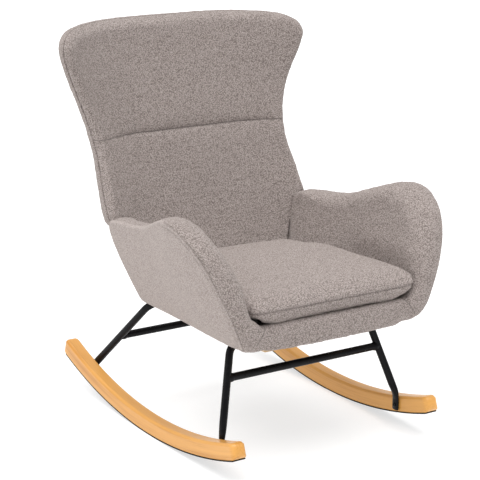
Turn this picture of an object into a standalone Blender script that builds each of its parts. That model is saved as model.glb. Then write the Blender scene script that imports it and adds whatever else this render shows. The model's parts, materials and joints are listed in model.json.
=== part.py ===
"""A wingback rocking chair, built as its separate pieces. Metres, +Z up, the chair faces -Y.

The origin is on the floor, midway between the ends of the rockers. The sitter's left is +X.
"""

import math

import bmesh
import bpy
from mathutils import Vector

# Clearances between pieces.
GAP = 0.0003
SOFT_GAP = 0.0020
HOLE_CLEARANCE = 0.0004

# Wooden rockers: arcs of one circle, cut into short flats underneath.
ROCKER_RADIUS = 1.264
ROCKER_CONTACT_Y = -0.013
ROCKER_FLAT = 0.060
ROCKER_FRONT_LENGTH = 0.4275
ROCKER_REAR_LENGTH = 0.462
ROCKER_HEIGHT = 0.041
ROCKER_THICKNESS = 0.029
ROCKER_SPACING = 0.565
ROCKER_CHAMFER = 0.004
ROCKER_NOSE = 0.014
NOSE_STEPS = ((0.0, 0.52), (0.3, 0.78), (1.0, 1.0))
NOSE_SIDE_SHARE = 0.12
STRIP_THICKNESS = 0.003
STRIP_WIDTH = 0.020
STRIP_FRONT_LENGTH = 0.392
STRIP_REAR_LENGTH = 0.420

# Steel tube frames: each pair of legs is one bent tube with a crossbar welded in.
TUBE_DIAMETER = 0.018
TUBE_BEND = 0.035
CROSSBAR_DIAMETER = 0.017
WELD_FLARE = 0.0025
WELD_LENGTH = 0.008
COPE_REACH = 0.035
FOOT_THICKNESS = 0.008
FOOT_WIDTH = 0.023
FOOT_BEND_HEIGHT = 0.090
FOOT_FLAT_SHARE = 0.62
FOOT_ROUNDING = 0.022
FOOT_NECK = (0.0072, 0.0101)
LEG_BEND_SETBACK = 0.0255
FRONT_FOOT_Y = -0.300
FRONT_FOOT_END = 0.042
FRONT_LEG_RAKE = 0.267
FRONT_LEG_SPLAY = 0.283
FRONT_BAR_HEIGHT = 0.210
REAR_FOOT_Y = 0.321
REAR_FOOT_END = 0.066
REAR_LEG_RAKE = -0.967
REAR_LEG_SPLAY = 0.263
REAR_BAR_HEIGHT = 0.176
FRONT_SCREW_HEIGHT = 0.056
REAR_SCREW_HEIGHT = 0.077

# Timber seat frame.
FRAME_BOTTOM = 0.300
RAIL_HEIGHT = 0.035
RAIL_THICKNESS = 0.025
SIDE_RAIL_INNER = 0.122
FRONT_RAIL_Y = -0.378
REAR_RAIL_Y = 0.068
STRAP_THICKNESS = 0.0015
SEAT_STRAP_WIDTH = 0.060
SEAT_STRAPS = 4
SEAT_STRAP_HALF = 0.148
SEAT_STRAP_FRONT_SPACE = 0.020
SEAT_STRAP_REAR_SPACE = 0.010
DECK_TOP = 0.3605
DECK_CLEARANCE = 0.003
DECK_REAR = 0.080
DUST_COVER_THICKNESS = 0.001
DUST_COVER_RECESS = 0.001

# Mounting plates under the frame.
PLATE_THICKNESS = 0.003
PLATE_WIDTH = 0.034
PLATE_X = 0.142
FRONT_PLATE_LENGTH = 0.070
REAR_PLATE_FRONT = 0.150
REAR_PLATE_REAR = 0.010
SCREW_SHANK = 0.005
SCREW_HEAD = 0.010
SCREW_HEAD_HEIGHT = 0.0025
SCREW_CROWN = 0.7
HOLE_START = 0.0009
HOLE_EXTRA = 0.0011
SCREW_LENGTH = 0.022
FRONT_SCREW_OFFSET = 0.025
REAR_SCREW_OFFSETS = (0.135, 0.100)
BACK_BOLT_X = 0.080
BACK_BOLT_HEIGHT = 0.318
BACK_BOLT_LENGTH = 0.088

# Arm walls: a sloping, slightly bowl-shaped middle surface, padded on both sides.
WALL_MIDDLE_HEIGHT = 0.390
WALL_MIDDLE_X = 0.243
WALL_SLOPE = 0.380
WALL_FRONT_SLOPE = 0.430
WALL_CURVE = 0.450
WALL_BULGE = 0.024
WALL_BULGE_Y = -0.280
WALL_BULGE_LENGTH = 0.170
ARM_HALF_THICKNESS = 0.031
ARM_EDGE_ROUND = 0.031
ARM_CRISP_EDGE = 0.006
ARM_SOFT_BOTTOM = 0.330
ARM_SOFT_TOP = 0.380
ARM_SOFT_REAR = 0.130
ARM_SOFT_FRONT = 0.080
ARM_LIP = 0.012
ARM_PLY = 0.012
ARM_POCKET_FLOOR = 0.002
ARM_PANEL_PROUD = 0.001
PANEL_EASE = 0.003
ARM_LOOP_POINTS = 44
ARM_CENTRE = (-0.130, 0.430)
ARM_OUTLINE = (
    (0.030, 0.2985), (0.100, 0.2975), (0.122, 0.305), (0.130, 0.340), (0.141, 0.390),
    (0.152, 0.440), (0.157, 0.475), (0.155, 0.501), (0.141, 0.521), (0.100, 0.530), (0.050, 0.535),
    (0.000, 0.541), (-0.050, 0.551), (-0.100, 0.569), (-0.150, 0.588), (-0.200, 0.604),
    (-0.240, 0.609), (-0.275, 0.604), (-0.312, 0.587), (-0.346, 0.560), (-0.373, 0.524),
    (-0.392, 0.480), (-0.404, 0.430), (-0.409, 0.380), (-0.407, 0.340), (-0.394, 0.314),
    (-0.360, 0.304), (-0.250, 0.303), (-0.100, 0.3005),
)

# Front apron between the arms.
APRON_FRONT = -0.403
APRON_BOTTOM = 0.303
APRON_ROUND = 0.018
APRON_CHAMFER = 0.008
APRON_BOW = 0.010
APRON_REAR = -0.345

# Loose seat cushion.
CUSHION_HEIGHT = 0.040
CUSHION_CROWN = 0.034
CUSHION_SIDE_CLEARANCE = 0.002
CUSHION_DRAW_IN = 0.004
CUSHION_BOTTOM_ROUND = 0.012
CUSHION_TOP_ROUND = 0.030
CUSHION_TOP_STEPS = (
    (0.08, 0.00, 0.12), (0.33, 0.00, 0.30), (1.00, 0.00, 0.53), (1.00, 0.22, 0.76),
    (1.00, 0.50, 0.94), (1.00, 1.00, 1.00),
)
CUSHION_LEAN_START = 0.100
CUSHION_LOOP_POINTS = 44
CUSHION_CENTRE = (0.0, -0.130)
CUSHION_REAR_LEAN = 0.55
CUSHION_OUTLINE = (
    (0.00, -0.396), (0.50, -0.395), (0.88, -0.390), (0.975, -0.376), (1.00, -0.340),
    (1.00, -0.220), (1.00, -0.100), (1.00, 0.000), (0.985, 0.055), (0.92, 0.084),
    (0.75, 0.096), (0.40, 0.102), (0.00, 0.104),
)

# Wing back. Depths run through it from the front face to the rear face.
BACK_HALF_THICKNESS = 0.036
BACK_EDGE_ROUND = 0.026
BACK_SOFT_BOTTOM = 0.490
BACK_SOFT_TOP = 0.540
BACK_BOTTOM = 0.300
BACK_TOP = 0.985
BACK_WING_START = 0.110
BACK_WING_CURVE = 1.45
BACK_WING_TOP_CURVE = 2.2
BACK_WING_TOP_START = 0.800
BACK_BOTTOM_Y = 0.106
BACK_LOWER_LEAN = 0.669
BACK_LEAN_FALLOFF = 0.342
BACK_SEAM_HEIGHT = 0.700
BACK_SEAM_DEPTH = 0.004
BACK_SEAM_WIDTH = 0.007
BACK_SEAM_OVERRUN = 0.020
BACK_LIP_INSET = 0.003
BACK_LIP_THICKNESS = 0.0065
BACK_SPLIT_DEPTH = 0.012
BACK_POCKET_FLOOR = -0.002
BACK_FRAME_FRONT = 0.0015
BACK_FRAME_THICKNESS = 0.020
BACK_COVER_INNER = 0.0245
COVER_ROUND = ((0.55, 0.90), (0.20, 0.62))
BACK_FLARE_START = 0.430
STILE_INSET = 0.020
STILE_WIDTH = 0.042
STILE_RAISE = 0.006
TOP_RAIL_INSET = 0.010
BACK_JOINT_GAP = 0.0005
BACK_RAIL_WIDTH = 0.050
BACK_RAIL_HEIGHTS = {"bottom": 0.360, "middle": 0.620, "top": 0.925}
BACK_STRAP_HEIGHTS = (0.411, 0.459, 0.565, 0.675, 0.755, 0.835)
BACK_STRAP_WIDTH = 0.046
BACK_STRAP_OVERLAP = 0.022
BACK_LOOP_POINTS = 56
BACK_CENTRE = (0.0, 0.660)
BACK_SIDE = (
    (0.300, 0.168), (0.330, 0.183), (0.370, 0.202), (0.410, 0.220), (0.450, 0.2340),
    (0.482, 0.2435), (0.498, 0.266), (0.512, 0.289), (0.535, 0.296), (0.590, 0.294),
    (0.630, 0.289), (0.664, 0.287), (0.700, 0.290), (0.740, 0.297), (0.786, 0.311),
    (0.835, 0.330), (0.880, 0.349), (0.905, 0.357),
)
BACK_TOP_CORNER = (
    (0.361, 0.925), (0.358, 0.943), (0.349, 0.957), (0.333, 0.968), (0.309, 0.976),
    (0.250, 0.981), (0.150, 0.984),
)


def material(name, colour, roughness, metallic=0.0):
    made = bpy.data.materials.new(name)
    made.use_nodes = True
    shader = made.node_tree.nodes["Principled BSDF"]
    shader.inputs["Base Color"].default_value = (*colour, 1.0)
    shader.inputs["Roughness"].default_value = roughness
    shader.inputs["Metallic"].default_value = metallic
    made.diffuse_color = (*colour, 1.0)
    return made


def make_materials():
    return {
        "fabric": material("taupe_boucle", (0.40, 0.34, 0.31), 0.95),
        "wood": material("lacquered_wood", (0.85, 0.48, 0.17), 0.35),
        "tube": material("black_powder_coat", (0.012, 0.012, 0.013), 0.45),
        "strip": material("black_felt_strip", (0.02, 0.02, 0.02), 0.9),
        "screw": material("blackened_screw", (0.03, 0.03, 0.03), 0.4, 1.0),
        "timber": material("sawn_timber", (0.62, 0.45, 0.27), 0.7),
        "ply": material("plywood", (0.66, 0.50, 0.32), 0.7),
        "webbing": material("elastic_webbing", (0.05, 0.05, 0.05), 0.8),
        "dust_cover": material("dust_cover_cloth", (0.03, 0.03, 0.03), 0.9),
    }


def mesh_object(name, verts, faces, finish, smooth=True, angle=40.0):
    """A closed mesh with its faces turned outwards."""
    mesh = bpy.data.meshes.new(name)
    mesh.from_pydata([tuple(v) for v in verts], [], faces)
    work = bmesh.new()
    work.from_mesh(mesh)
    bmesh.ops.recalc_face_normals(work, faces=work.faces)
    work.to_mesh(mesh)
    work.free()
    if smooth:
        mesh.shade_smooth()
        mesh.set_sharp_from_angle(angle=math.radians(angle))
    mesh.materials.append(finish)
    obj = bpy.data.objects.new(name, mesh)
    bpy.context.scene.collection.objects.link(obj)
    return obj


def cut(target, cutter):
    """Takes the cutter out of the target and keeps the cutter as a hidden helper."""
    cutter.hide_render = True
    cutter.display_type = "WIRE"
    step = target.modifiers.new(cutter.name, "BOOLEAN")
    step.operation = "DIFFERENCE"
    step.object = cutter


def spline(points, steps, closed):
    """Points of a Catmull-Rom curve through the given 2-D points."""
    count = len(points)
    spans = count if closed else count - 1
    out = []
    for i in range(spans):
        if closed:
            p = [points[(i + k - 1) % count] for k in range(4)]
        else:
            p = [points[min(max(i + k - 1, 0), count - 1)] for k in range(4)]
        for j in range(steps):
            t = j / steps
            weights = (
                -0.5 * t + t * t - 0.5 * t**3,
                1.0 - 2.5 * t * t + 1.5 * t**3,
                0.5 * t + 2.0 * t * t - 1.5 * t**3,
                -0.5 * t * t + 0.5 * t**3,
            )
            out.append(tuple(sum(w * q[a] for w, q in zip(weights, p)) for a in (0, 1)))
    if not closed:
        out.append(tuple(points[-1]))
    return out


def even_loop(points, count):
    """The closed curve through the points, as evenly spaced points."""
    fine = spline(points, 12, closed=True)
    fine.append(fine[0])
    lengths = [0.0]
    for a, b in zip(fine, fine[1:]):
        lengths.append(lengths[-1] + math.dist(a, b))
    out = []
    k = 0
    for i in range(count):
        want = lengths[-1] * i / count
        while lengths[k + 1] < want:
            k += 1
        share = (want - lengths[k]) / (lengths[k + 1] - lengths[k])
        out.append(tuple(a + (b - a) * share for a, b in zip(fine[k], fine[k + 1])))
    return out


def inset_ring(loop, centre, insets, share):
    """The loop moved inwards by each point's inset, then by a share of the way to the centre."""
    ring = []
    count = len(loop)
    for i, (a, b) in enumerate(loop):
        before = loop[i - 1]
        after = loop[(i + 1) % count]
        along = Vector((after[0] - before[0], after[1] - before[1])).normalized()
        inward = Vector((centre[0] - a, centre[1] - b))
        reach = inward.length
        inward.normalize()
        square = max(abs(inward.x * along.y - inward.y * along.x), 0.5)
        moved = insets[i] / square
        moved += (reach - moved) * share
        ring.append((a + inward.x * moved, b + inward.y * moved))
    return ring


def ring_solid(name, loop, centre, profile, place, finish, angle=40.0):
    """A closed solid from rings of one outline.

    Each profile step is (insets, share, depth); a share of 1 closes the solid at the centre.
    """
    count = len(loop)
    verts = []
    rings = []
    for insets, share, depth in profile:
        if not isinstance(insets, (list, tuple)):
            insets = [insets] * count
        if share >= 1.0:
            rings.append([len(verts)] * count)
            verts.append(place(centre[0], centre[1], depth))
            continue
        rings.append(list(range(len(verts), len(verts) + count)))
        verts += [place(a, b, depth) for a, b in inset_ring(loop, centre, insets, share)]
    order = [(share, depth) for _, share, depth in profile]
    pairs = list(zip(rings, rings[1:], order, order[1:]))
    if profile[0][1] < 1.0:
        pairs.append((rings[-1], rings[0], order[-1], order[0]))
    faces = []
    for one, two, key_one, key_two in pairs:
        # Surfaces that face each other are split along the same diagonals, so their gap stays even.
        if key_two > key_one:
            one, two = two, one
        for i in range(count):
            j = (i + 1) % count
            for face in ((one[i], one[j], two[j]), (one[i], two[j], two[i])):
                if len(set(face)) == 3:
                    faces.append(face)
    return mesh_object(name, verts, faces, finish, angle=angle)


def block(name, us, vs, ws, place, finish, angle=30.0):
    """A closed block over a grid of three parameters."""
    size = (len(us), len(vs), len(ws))
    index = {}
    verts = []

    def corner(i, j, k):
        if (i, j, k) not in index:
            index[i, j, k] = len(verts)
            verts.append(place(us[i], vs[j], ws[k]))
        return index[i, j, k]

    faces = []
    for axis in range(3):
        a, b = [n for n in range(3) if n != axis]
        for end in (0, size[axis] - 1):
            for i in range(size[a] - 1):
                for j in range(size[b] - 1):
                    face = []
                    for di, dj in ((0, 0), (1, 0), (1, 1), (0, 1)):
                        at = [0, 0, 0]
                        at[axis] = end
                        at[a] = i + di
                        at[b] = j + dj
                        face.append(corner(*at))
                    faces.append(face)
    return mesh_object(name, verts, faces, finish, angle=angle)


def prism(name, section, stations, place, finish, angle=30.0):
    """A closed section swept over the stations, each point put in place on its own."""
    count = len(section)
    verts = [place(s, a, b) for s in stations for a, b in section]
    faces = []
    for n in range(len(stations) - 1):
        for i in range(count):
            j = (i + 1) % count
            faces.append([n * count + i, n * count + j, (n + 1) * count + j, (n + 1) * count + i])
    faces.append(list(range(count)))
    faces.append(list(range((len(stations) - 1) * count, len(stations) * count)))
    return mesh_object(name, verts, faces, finish, angle=angle)


def turned(name, profile, start, axis, finish, sides=10):
    """A solid turned about an axis from (distance along, radius) steps, closed at both ends."""
    axis = Vector(axis).normalized()
    across = axis.orthogonal().normalized()
    other = axis.cross(across)
    start = Vector(start)
    verts = []
    for along, radius in profile:
        for i in range(sides):
            angle = 2.0 * math.pi * i / sides
            spoke = across * math.cos(angle) + other * math.sin(angle)
            verts.append(start + axis * along + spoke * radius)
    faces = []
    for n in range(len(profile) - 1):
        for i in range(sides):
            j = (i + 1) % sides
            faces.append([n * sides + i, n * sides + j, (n + 1) * sides + j, (n + 1) * sides + i])
    faces.append(list(range(sides)))
    faces.append(list(range((len(profile) - 1) * sides, len(profile) * sides)))
    return mesh_object(name, verts, faces, finish)


def tube(name, path, half_sizes, finish, sides=12):
    """A tube along the path. Each point has its half size across X and in the other direction."""
    points = [Vector(p) for p in path]
    tangents = []
    for i in range(len(points)):
        before = points[max(i - 1, 0)]
        after = points[min(i + 1, len(points) - 1)]
        tangents.append((after - before).normalized())
    across = Vector((1.0, 0.0, 0.0))
    across = (across - tangents[0] * across.dot(tangents[0])).normalized()
    verts = []
    for i, (point, tangent) in enumerate(zip(points, tangents)):
        if i:
            across = tangents[i - 1].rotation_difference(tangent) @ across
            across = (across - tangent * across.dot(tangent)).normalized()
        other = tangent.cross(across)
        for k in range(sides):
            angle = 2.0 * math.pi * (k + 0.5) / sides
            wide, deep = half_sizes[i]
            verts.append(point + across * (math.cos(angle) * wide) + other * (math.sin(angle) * deep))
    faces = []
    for n in range(len(points) - 1):
        for k in range(sides):
            m = (k + 1) % sides
            faces.append([n * sides + k, n * sides + m, (n + 1) * sides + m, (n + 1) * sides + k])
    faces.append(list(range(sides)))
    faces.append(list(range((len(points) - 1) * sides, len(points) * sides)))
    return mesh_object(name, verts, faces, finish, angle=50.0)


def spread(low, high, count):
    return [low + (high - low) * i / (count - 1) for i in range(count)]


def clamp(value):
    return min(max(value, 0.0), 1.0)


def between(table, value):
    """Looks a value up in a table of pairs, straight between neighbours."""
    for (a, fa), (b, fb) in zip(table, table[1:]):
        if value <= b:
            return fa + (fb - fa) * clamp((value - a) / (b - a))
    return table[-1][1]


# Rockers.

FLAT_ANGLE = ROCKER_FLAT / ROCKER_RADIUS
ARC_CENTRE_Z = ROCKER_RADIUS * math.cos(FLAT_ANGLE / 2.0)
ROCKER_X = ROCKER_SPACING / 2.0
ROCKER_INNER = ROCKER_X - ROCKER_THICKNESS / 2.0


def arc_angles(front, rear):
    """The angles of the flats' corners, with one flat under the contact point."""
    low = -front / ROCKER_RADIUS
    high = rear / ROCKER_RADIUS
    corners = [(i + 0.5) * FLAT_ANGLE for i in range(-20, 20)]
    keep = FLAT_ANGLE * 0.3
    return [low] + [a for a in corners if low + keep < a < high - keep] + [high]


def on_arc(angle, above):
    """The point this far above the running surface, as (y, z)."""
    radius = ROCKER_RADIUS - above
    return ROCKER_CONTACT_Y + radius * math.sin(angle), ARC_CENTRE_Z - radius * math.cos(angle)


def make_rocker(name, side, finish):
    low = STRIP_THICKNESS + GAP
    high = low + ROCKER_HEIGHT
    half = ROCKER_THICKNESS / 2.0
    c = ROCKER_CHAMFER
    section = (
        (-half + c, low), (half - c, low), (half, low + c), (half, high - c),
        (half - c, high), (-half + c, high), (-half, high - c), (-half, low + c),
    )
    middle = (low + high) / 2.0
    nose = ROCKER_NOSE / ROCKER_RADIUS
    angles = arc_angles(ROCKER_FRONT_LENGTH, ROCKER_REAR_LENGTH)
    stations = [(angle, 1.0) for angle in angles[1:-1]]
    for end in (angles[0], angles[-1]):
        turn = math.copysign(nose, -end)
        steps = [(end + turn * share, scale) for share, scale in NOSE_STEPS]
        stations = steps + stations if end < 0.0 else stations + steps[::-1]

    def place(station, x, above):
        angle, scale = station
        y, z = on_arc(angle, middle + (above - middle) * scale)
        return Vector((side * (ROCKER_X + x * min(1.0, scale + NOSE_SIDE_SHARE)), y, z))

    return prism(name, section, stations, place, finish)


def make_strip(name, side, finish):
    half = STRIP_WIDTH / 2.0
    section = ((-half, 0.0), (half, 0.0), (half, STRIP_THICKNESS), (-half, STRIP_THICKNESS))

    def place(angle, x, above):
        y, z = on_arc(angle, above)
        return Vector((side * (ROCKER_X + x), y, z))

    angles = arc_angles(STRIP_FRONT_LENGTH, STRIP_REAR_LENGTH)
    return prism(name, section, angles, place, finish)


# Tube frames.

TUBE_AXIS_HEIGHT = FRAME_BOTTOM - 2.0 * GAP - PLATE_THICKNESS - TUBE_DIAMETER / 2.0
FOOT_X = ROCKER_INNER - GAP - FOOT_THICKNESS / 2.0


def leg_point(bend, rake, splay, height):
    """The leg's axis at a height, from its foot bend. Rake is in Y and splay in X, per metre up."""
    rise = height - bend[2]
    return Vector((bend[0] - splay * rise, bend[1] + rake * rise, height))


def bend_between(before, corner, after, radius, steps=4):
    """The points of a round bend at a corner."""
    one = (before - corner).normalized()
    two = (after - corner).normalized()
    half = one.angle(two) / 2.0
    tangent = radius / math.tan(half)
    centre = corner + (one + two).normalized() * (radius / math.sin(half))
    start = corner + one * tangent - centre
    end = corner + two * tangent - centre
    turn = start.angle(end)
    points = []
    for i in range(steps + 1):
        share = i / steps
        point = (start * math.sin((1.0 - share) * turn) + end * math.sin(share * turn)) / math.sin(turn)
        points.append(centre + point)
    return points


def leg_frame_path(foot_y, foot_end, rake, splay, foot_lean):
    """One side's points from the foot end to the middle of the top tube, with their half sizes."""
    round_size = (TUBE_DIAMETER / 2.0, TUBE_DIAMETER / 2.0)
    flat_size = (FOOT_THICKNESS / 2.0, FOOT_WIDTH / 2.0)
    bend = Vector((ROCKER_X - LEG_BEND_SETBACK, foot_y, FOOT_BEND_HEIGHT))
    top = leg_point(bend, rake, splay, TUBE_AXIS_HEIGHT)
    drop = FOOT_BEND_HEIGHT - foot_end
    foot = Vector((FOOT_X, foot_y - foot_lean * drop, foot_end))
    flat_top = foot.lerp(Vector((FOOT_X, foot_y, FOOT_BEND_HEIGHT)), FOOT_FLAT_SHARE)
    straight = leg_point(bend, rake, splay, FOOT_BEND_HEIGHT + FOOT_ROUNDING)
    path = [foot, flat_top, bend, straight]
    sizes = [flat_size, flat_size, FOOT_NECK, round_size]
    inner = Vector((0.0, top.y, top.z))
    for point in bend_between(straight, top, inner, TUBE_BEND):
        path.append(point)
        sizes.append(round_size)
    return path, sizes, bend


def make_leg_frame(name, foot_y, foot_end, rake, splay, foot_lean, finish):
    path, sizes, _ = leg_frame_path(foot_y, foot_end, rake, splay, foot_lean)
    other = [Vector((-p.x, p.y, p.z)) for p in reversed(path)]
    return tube(name, path + other, sizes + sizes[::-1], finish)


def make_crossbar(name, foot_y, foot_end, rake, splay, foot_lean, height, finish):
    """The crossbar, cut at both ends to the round of the legs."""
    _, _, bend = leg_frame_path(foot_y, foot_end, rake, splay, foot_lean)
    end = leg_point(bend, rake, splay, height)
    radius = CROSSBAR_DIAMETER / 2.0
    reach = end.x
    steps = (
        (-reach, radius + WELD_FLARE),
        (-reach + TUBE_DIAMETER / 2.0, radius + WELD_FLARE),
        (-reach + TUBE_DIAMETER / 2.0 + WELD_LENGTH, radius),
        (reach - TUBE_DIAMETER / 2.0 - WELD_LENGTH, radius),
        (reach - TUBE_DIAMETER / 2.0, radius + WELD_FLARE),
        (reach, radius + WELD_FLARE),
    )
    bar = turned(name, steps, (0.0, end.y, end.z), (1.0, 0.0, 0.0), finish, sides=14)
    for side, label in ((1.0, "left"), (-1.0, "right")):
        low = leg_point(bend, rake, splay, height - COPE_REACH)
        high = leg_point(bend, rake, splay, height + COPE_REACH)
        clear = TUBE_DIAMETER / 2.0 + GAP
        path = [(side * low.x, low.y, low.z), (side * high.x, high.y, high.z)]
        cutter = tube(f"{name}_{label}_cope", path, [(clear, clear)] * 2, finish, sides=16)
        cut(bar, cutter)
    return bar


# Arm walls.

def wall_x(y, z):
    """Half the distance between the middles of the two arm walls."""
    rise = z - WALL_MIDDLE_HEIGHT
    ahead = clamp(-y / 0.200)
    slope = WALL_SLOPE + (WALL_FRONT_SLOPE - WALL_SLOPE) * ahead * (rise > 0.0)
    bulge = WALL_BULGE * math.exp(-(((y - WALL_BULGE_Y) / WALL_BULGE_LENGTH) ** 2))
    return WALL_MIDDLE_X + slope * rise - WALL_CURVE * rise * rise + bulge


def inside_x(y, z):
    """Half the distance between the inner faces of the arms."""
    return wall_x(y, z) - ARM_HALF_THICKNESS


def arm_loop():
    return even_loop(ARM_OUTLINE, ARM_LOOP_POINTS)


def ramp(value, start, end):
    """0 before the start and 1 past the end."""
    return clamp((value - start) / (end - start))


def arm_insets(loop):
    """The inner edge round for each point of the loop: crisp at the bottom and the rear."""
    inner = []
    for y, z in loop:
        soft = ramp(z, ARM_SOFT_BOTTOM, ARM_SOFT_TOP) * ramp(y, ARM_SOFT_REAR, ARM_SOFT_FRONT)
        inner.append(ARM_CRISP_EDGE + (ARM_EDGE_ROUND - ARM_CRISP_EDGE) * soft)
    return inner


def bullnose(insets, half, first, last, steps):
    """Steps over a rounded edge, from one depth's face to the edge or back."""
    out = []
    for i in range(steps + 1):
        share = first + (last - first) * i / steps
        angle = share * math.pi / 2.0
        inward = 1.0 - math.cos(angle)
        out.append(([e * inward for e in insets], 0.0, half * math.sin(angle)))
    return out


ARM_SHARES = (0.22, 0.50, 0.78)
PANEL_SHARES = (0.35, 0.70)


def make_arm(side, label, finishes):
    loop = arm_loop()
    inner = arm_insets(loop)
    outer = [ARM_CRISP_EDGE] * len(loop)
    lip = [ARM_LIP] * len(loop)
    half = ARM_HALF_THICKNESS

    def place(y, z, depth):
        return Vector((side * (wall_x(y, z) - depth), y, z))

    floor = ARM_POCKET_FLOOR
    profile = [(inner, 1.0, half)]
    profile += [(inner, share, half) for share in reversed(ARM_SHARES)]
    profile += bullnose(inner, half, 1.0, 0.0, 4)
    profile += bullnose(outer, -half, 0.0, 1.0, 4)[1:]
    profile += [(lip, 0.0, -half), (lip, 0.0, floor)]
    profile += [(lip, share, floor) for share in PANEL_SHARES] + [(lip, 1.0, floor)]
    ring_solid(f"arm_pad_{label}", loop, ARM_CENTRE, profile, place, finishes["fabric"])

    seat = [e + GAP * 2.0 for e in lip]
    front = floor - GAP
    rear = front - ARM_PLY
    make_panel(f"arm_ply_{label}", loop, seat, front, rear, 0.0, place, finishes["ply"])
    front = rear - GAP
    rear = -half - ARM_PANEL_PROUD
    make_panel(f"side_panel_{label}", loop, seat, front, rear, PANEL_EASE, place, finishes["fabric"])


def make_panel(name, loop, seat, front, rear, edge, place, finish):
    """A plate that fills an arm's pocket between two depths, with an optional eased outer edge."""
    eased = [e + edge for e in seat]
    profile = [(seat, 1.0, front)]
    profile += [(seat, share, front) for share in reversed(PANEL_SHARES)]
    profile += [(seat, 0.0, front)]
    if edge:
        profile += [(seat, 0.0, rear + edge), (eased, 0.0, rear)]
    else:
        profile += [(seat, 0.0, rear)]
    profile += [(seat, share, rear) for share in PANEL_SHARES] + [(seat, 1.0, rear)]
    return ring_solid(name, loop, ARM_CENTRE, profile, place, finish)


# Seat frame, webbing, deck and apron.

RAIL_TOP = FRAME_BOTTOM + RAIL_HEIGHT
FRONT_RAIL_REAR = FRONT_RAIL_Y + RAIL_THICKNESS
REAR_RAIL_FRONT = REAR_RAIL_Y - RAIL_THICKNESS


def across_arms(clearance=SOFT_GAP):
    """Puts a section point in place at a share of the width between the arms."""
    def place(share, y, z):
        return Vector((share * (inside_x(y, z) - clearance), y, z))
    return place


def rectangle(y0, y1, z0, z1, across=1, up=2):
    """A rectangular section with points along its sides, as (y, z)."""
    ys = spread(y0, y1, across + 1)
    zs = spread(z0, z1, up + 1)
    points = [(y, z0) for y in ys]
    points += [(y1, z) for z in zs[1:]]
    points += [(y, z1) for y in reversed(ys[:-1])]
    points += [(y0, z) for z in reversed(zs[1:-1])]
    return points


def make_seat_frame(finishes):
    place = across_arms(SOFT_GAP)
    timber = finishes["timber"]
    rail = rectangle(FRONT_RAIL_Y, FRONT_RAIL_REAR, FRAME_BOTTOM, RAIL_TOP)
    prism("front_rail", rail, (-1.0, 1.0), place, timber)
    rail = rectangle(REAR_RAIL_FRONT, REAR_RAIL_Y, FRAME_BOTTOM, RAIL_TOP)
    prism("rear_rail", rail, (-1.0, 1.0), place, timber)
    for side, label in ((1.0, "left"), (-1.0, "right")):
        def place_rail(share, y, z, s=side):
            outer = inside_x(y, z) - SOFT_GAP
            return Vector((s * (SIDE_RAIL_INNER + (outer - SIDE_RAIL_INNER) * share), y, z))
        block(
            f"side_rail_{label}", (0.0, 1.0),
            spread(FRONT_RAIL_REAR + GAP, REAR_RAIL_FRONT - GAP, 7),
            spread(FRAME_BOTTOM, RAIL_TOP, 3), place_rail, timber,
        )


def make_seat_webbing(finishes):
    low = RAIL_TOP + GAP
    high = low + STRAP_THICKNESS
    first = FRONT_RAIL_REAR + SEAT_STRAP_WIDTH / 2.0 + SEAT_STRAP_FRONT_SPACE
    last = REAR_RAIL_FRONT - SEAT_STRAP_WIDTH / 2.0 - SEAT_STRAP_REAR_SPACE
    for i, y in enumerate(spread(first, last, SEAT_STRAPS)):
        half = SEAT_STRAP_WIDTH / 2.0
        block(
            f"seat_strap_{i + 1}", (-SEAT_STRAP_HALF, SEAT_STRAP_HALF), (y - half, y + half),
            (low, high), lambda u, v, w: Vector((u, v, w)), finishes["webbing"],
        )


def make_deck(finishes):
    low = RAIL_TOP + STRAP_THICKNESS + 2.0 * GAP
    front = APRON_REAR + GAP
    section = rectangle(front, DECK_REAR, low, DECK_TOP, across=8)
    stations = (-1.0, -0.5, 0.0, 0.5, 1.0)
    prism("seat_deck", section, stations, across_arms(DECK_CLEARANCE), finishes["fabric"])


def make_apron(finishes):
    """The padded front edge: it covers the front rail's face and its top."""
    r = APRON_ROUND
    low = RAIL_TOP + GAP
    inner = FRONT_RAIL_Y - GAP
    section = [(inner, APRON_BOTTOM), (APRON_FRONT + APRON_CHAMFER, APRON_BOTTOM)]
    section += [(APRON_FRONT, APRON_BOTTOM + APRON_CHAMFER), (APRON_FRONT, DECK_TOP - r)]
    for i in range(1, 5):
        angle = math.pi / 2.0 * i / 4.0
        section.append((APRON_FRONT + r - r * math.cos(angle), DECK_TOP - r + r * math.sin(angle)))
    section += [(APRON_REAR, DECK_TOP), (APRON_REAR, low), (inner, low)]
    plain = across_arms(SOFT_GAP)

    def place(share, y, z):
        point = plain(share, y, z)
        ahead = clamp((inner - y) / (inner - APRON_FRONT))
        point.y -= APRON_BOW * ahead * (1.0 - share * share)
        return point

    prism("front_apron", section, spread(-1.0, 1.0, 13), place, finishes["fabric"], angle=50.0)


def make_dust_cover(finishes):
    low = FRAME_BOTTOM + DUST_COVER_RECESS
    high = low + DUST_COVER_THICKNESS
    x = SIDE_RAIL_INNER - GAP
    block(
        "dust_cover", (-x, x), (FRONT_RAIL_REAR + GAP, REAR_RAIL_FRONT - GAP), (low, high),
        lambda u, v, w: Vector((u, v, w)), finishes["dust_cover"],
    )


def cushion_insets(loop, width, size):
    """Insets in the cushion outline's own units: shares of the width across, metres along."""
    made = []
    for i in range(len(loop)):
        before = loop[i - 1]
        after = loop[(i + 1) % len(loop)]
        along_y = abs(after[1] - before[1])
        along_x = abs(after[0] - before[0]) * width
        made.append(size / width if along_y > along_x else size)
    return made


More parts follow.
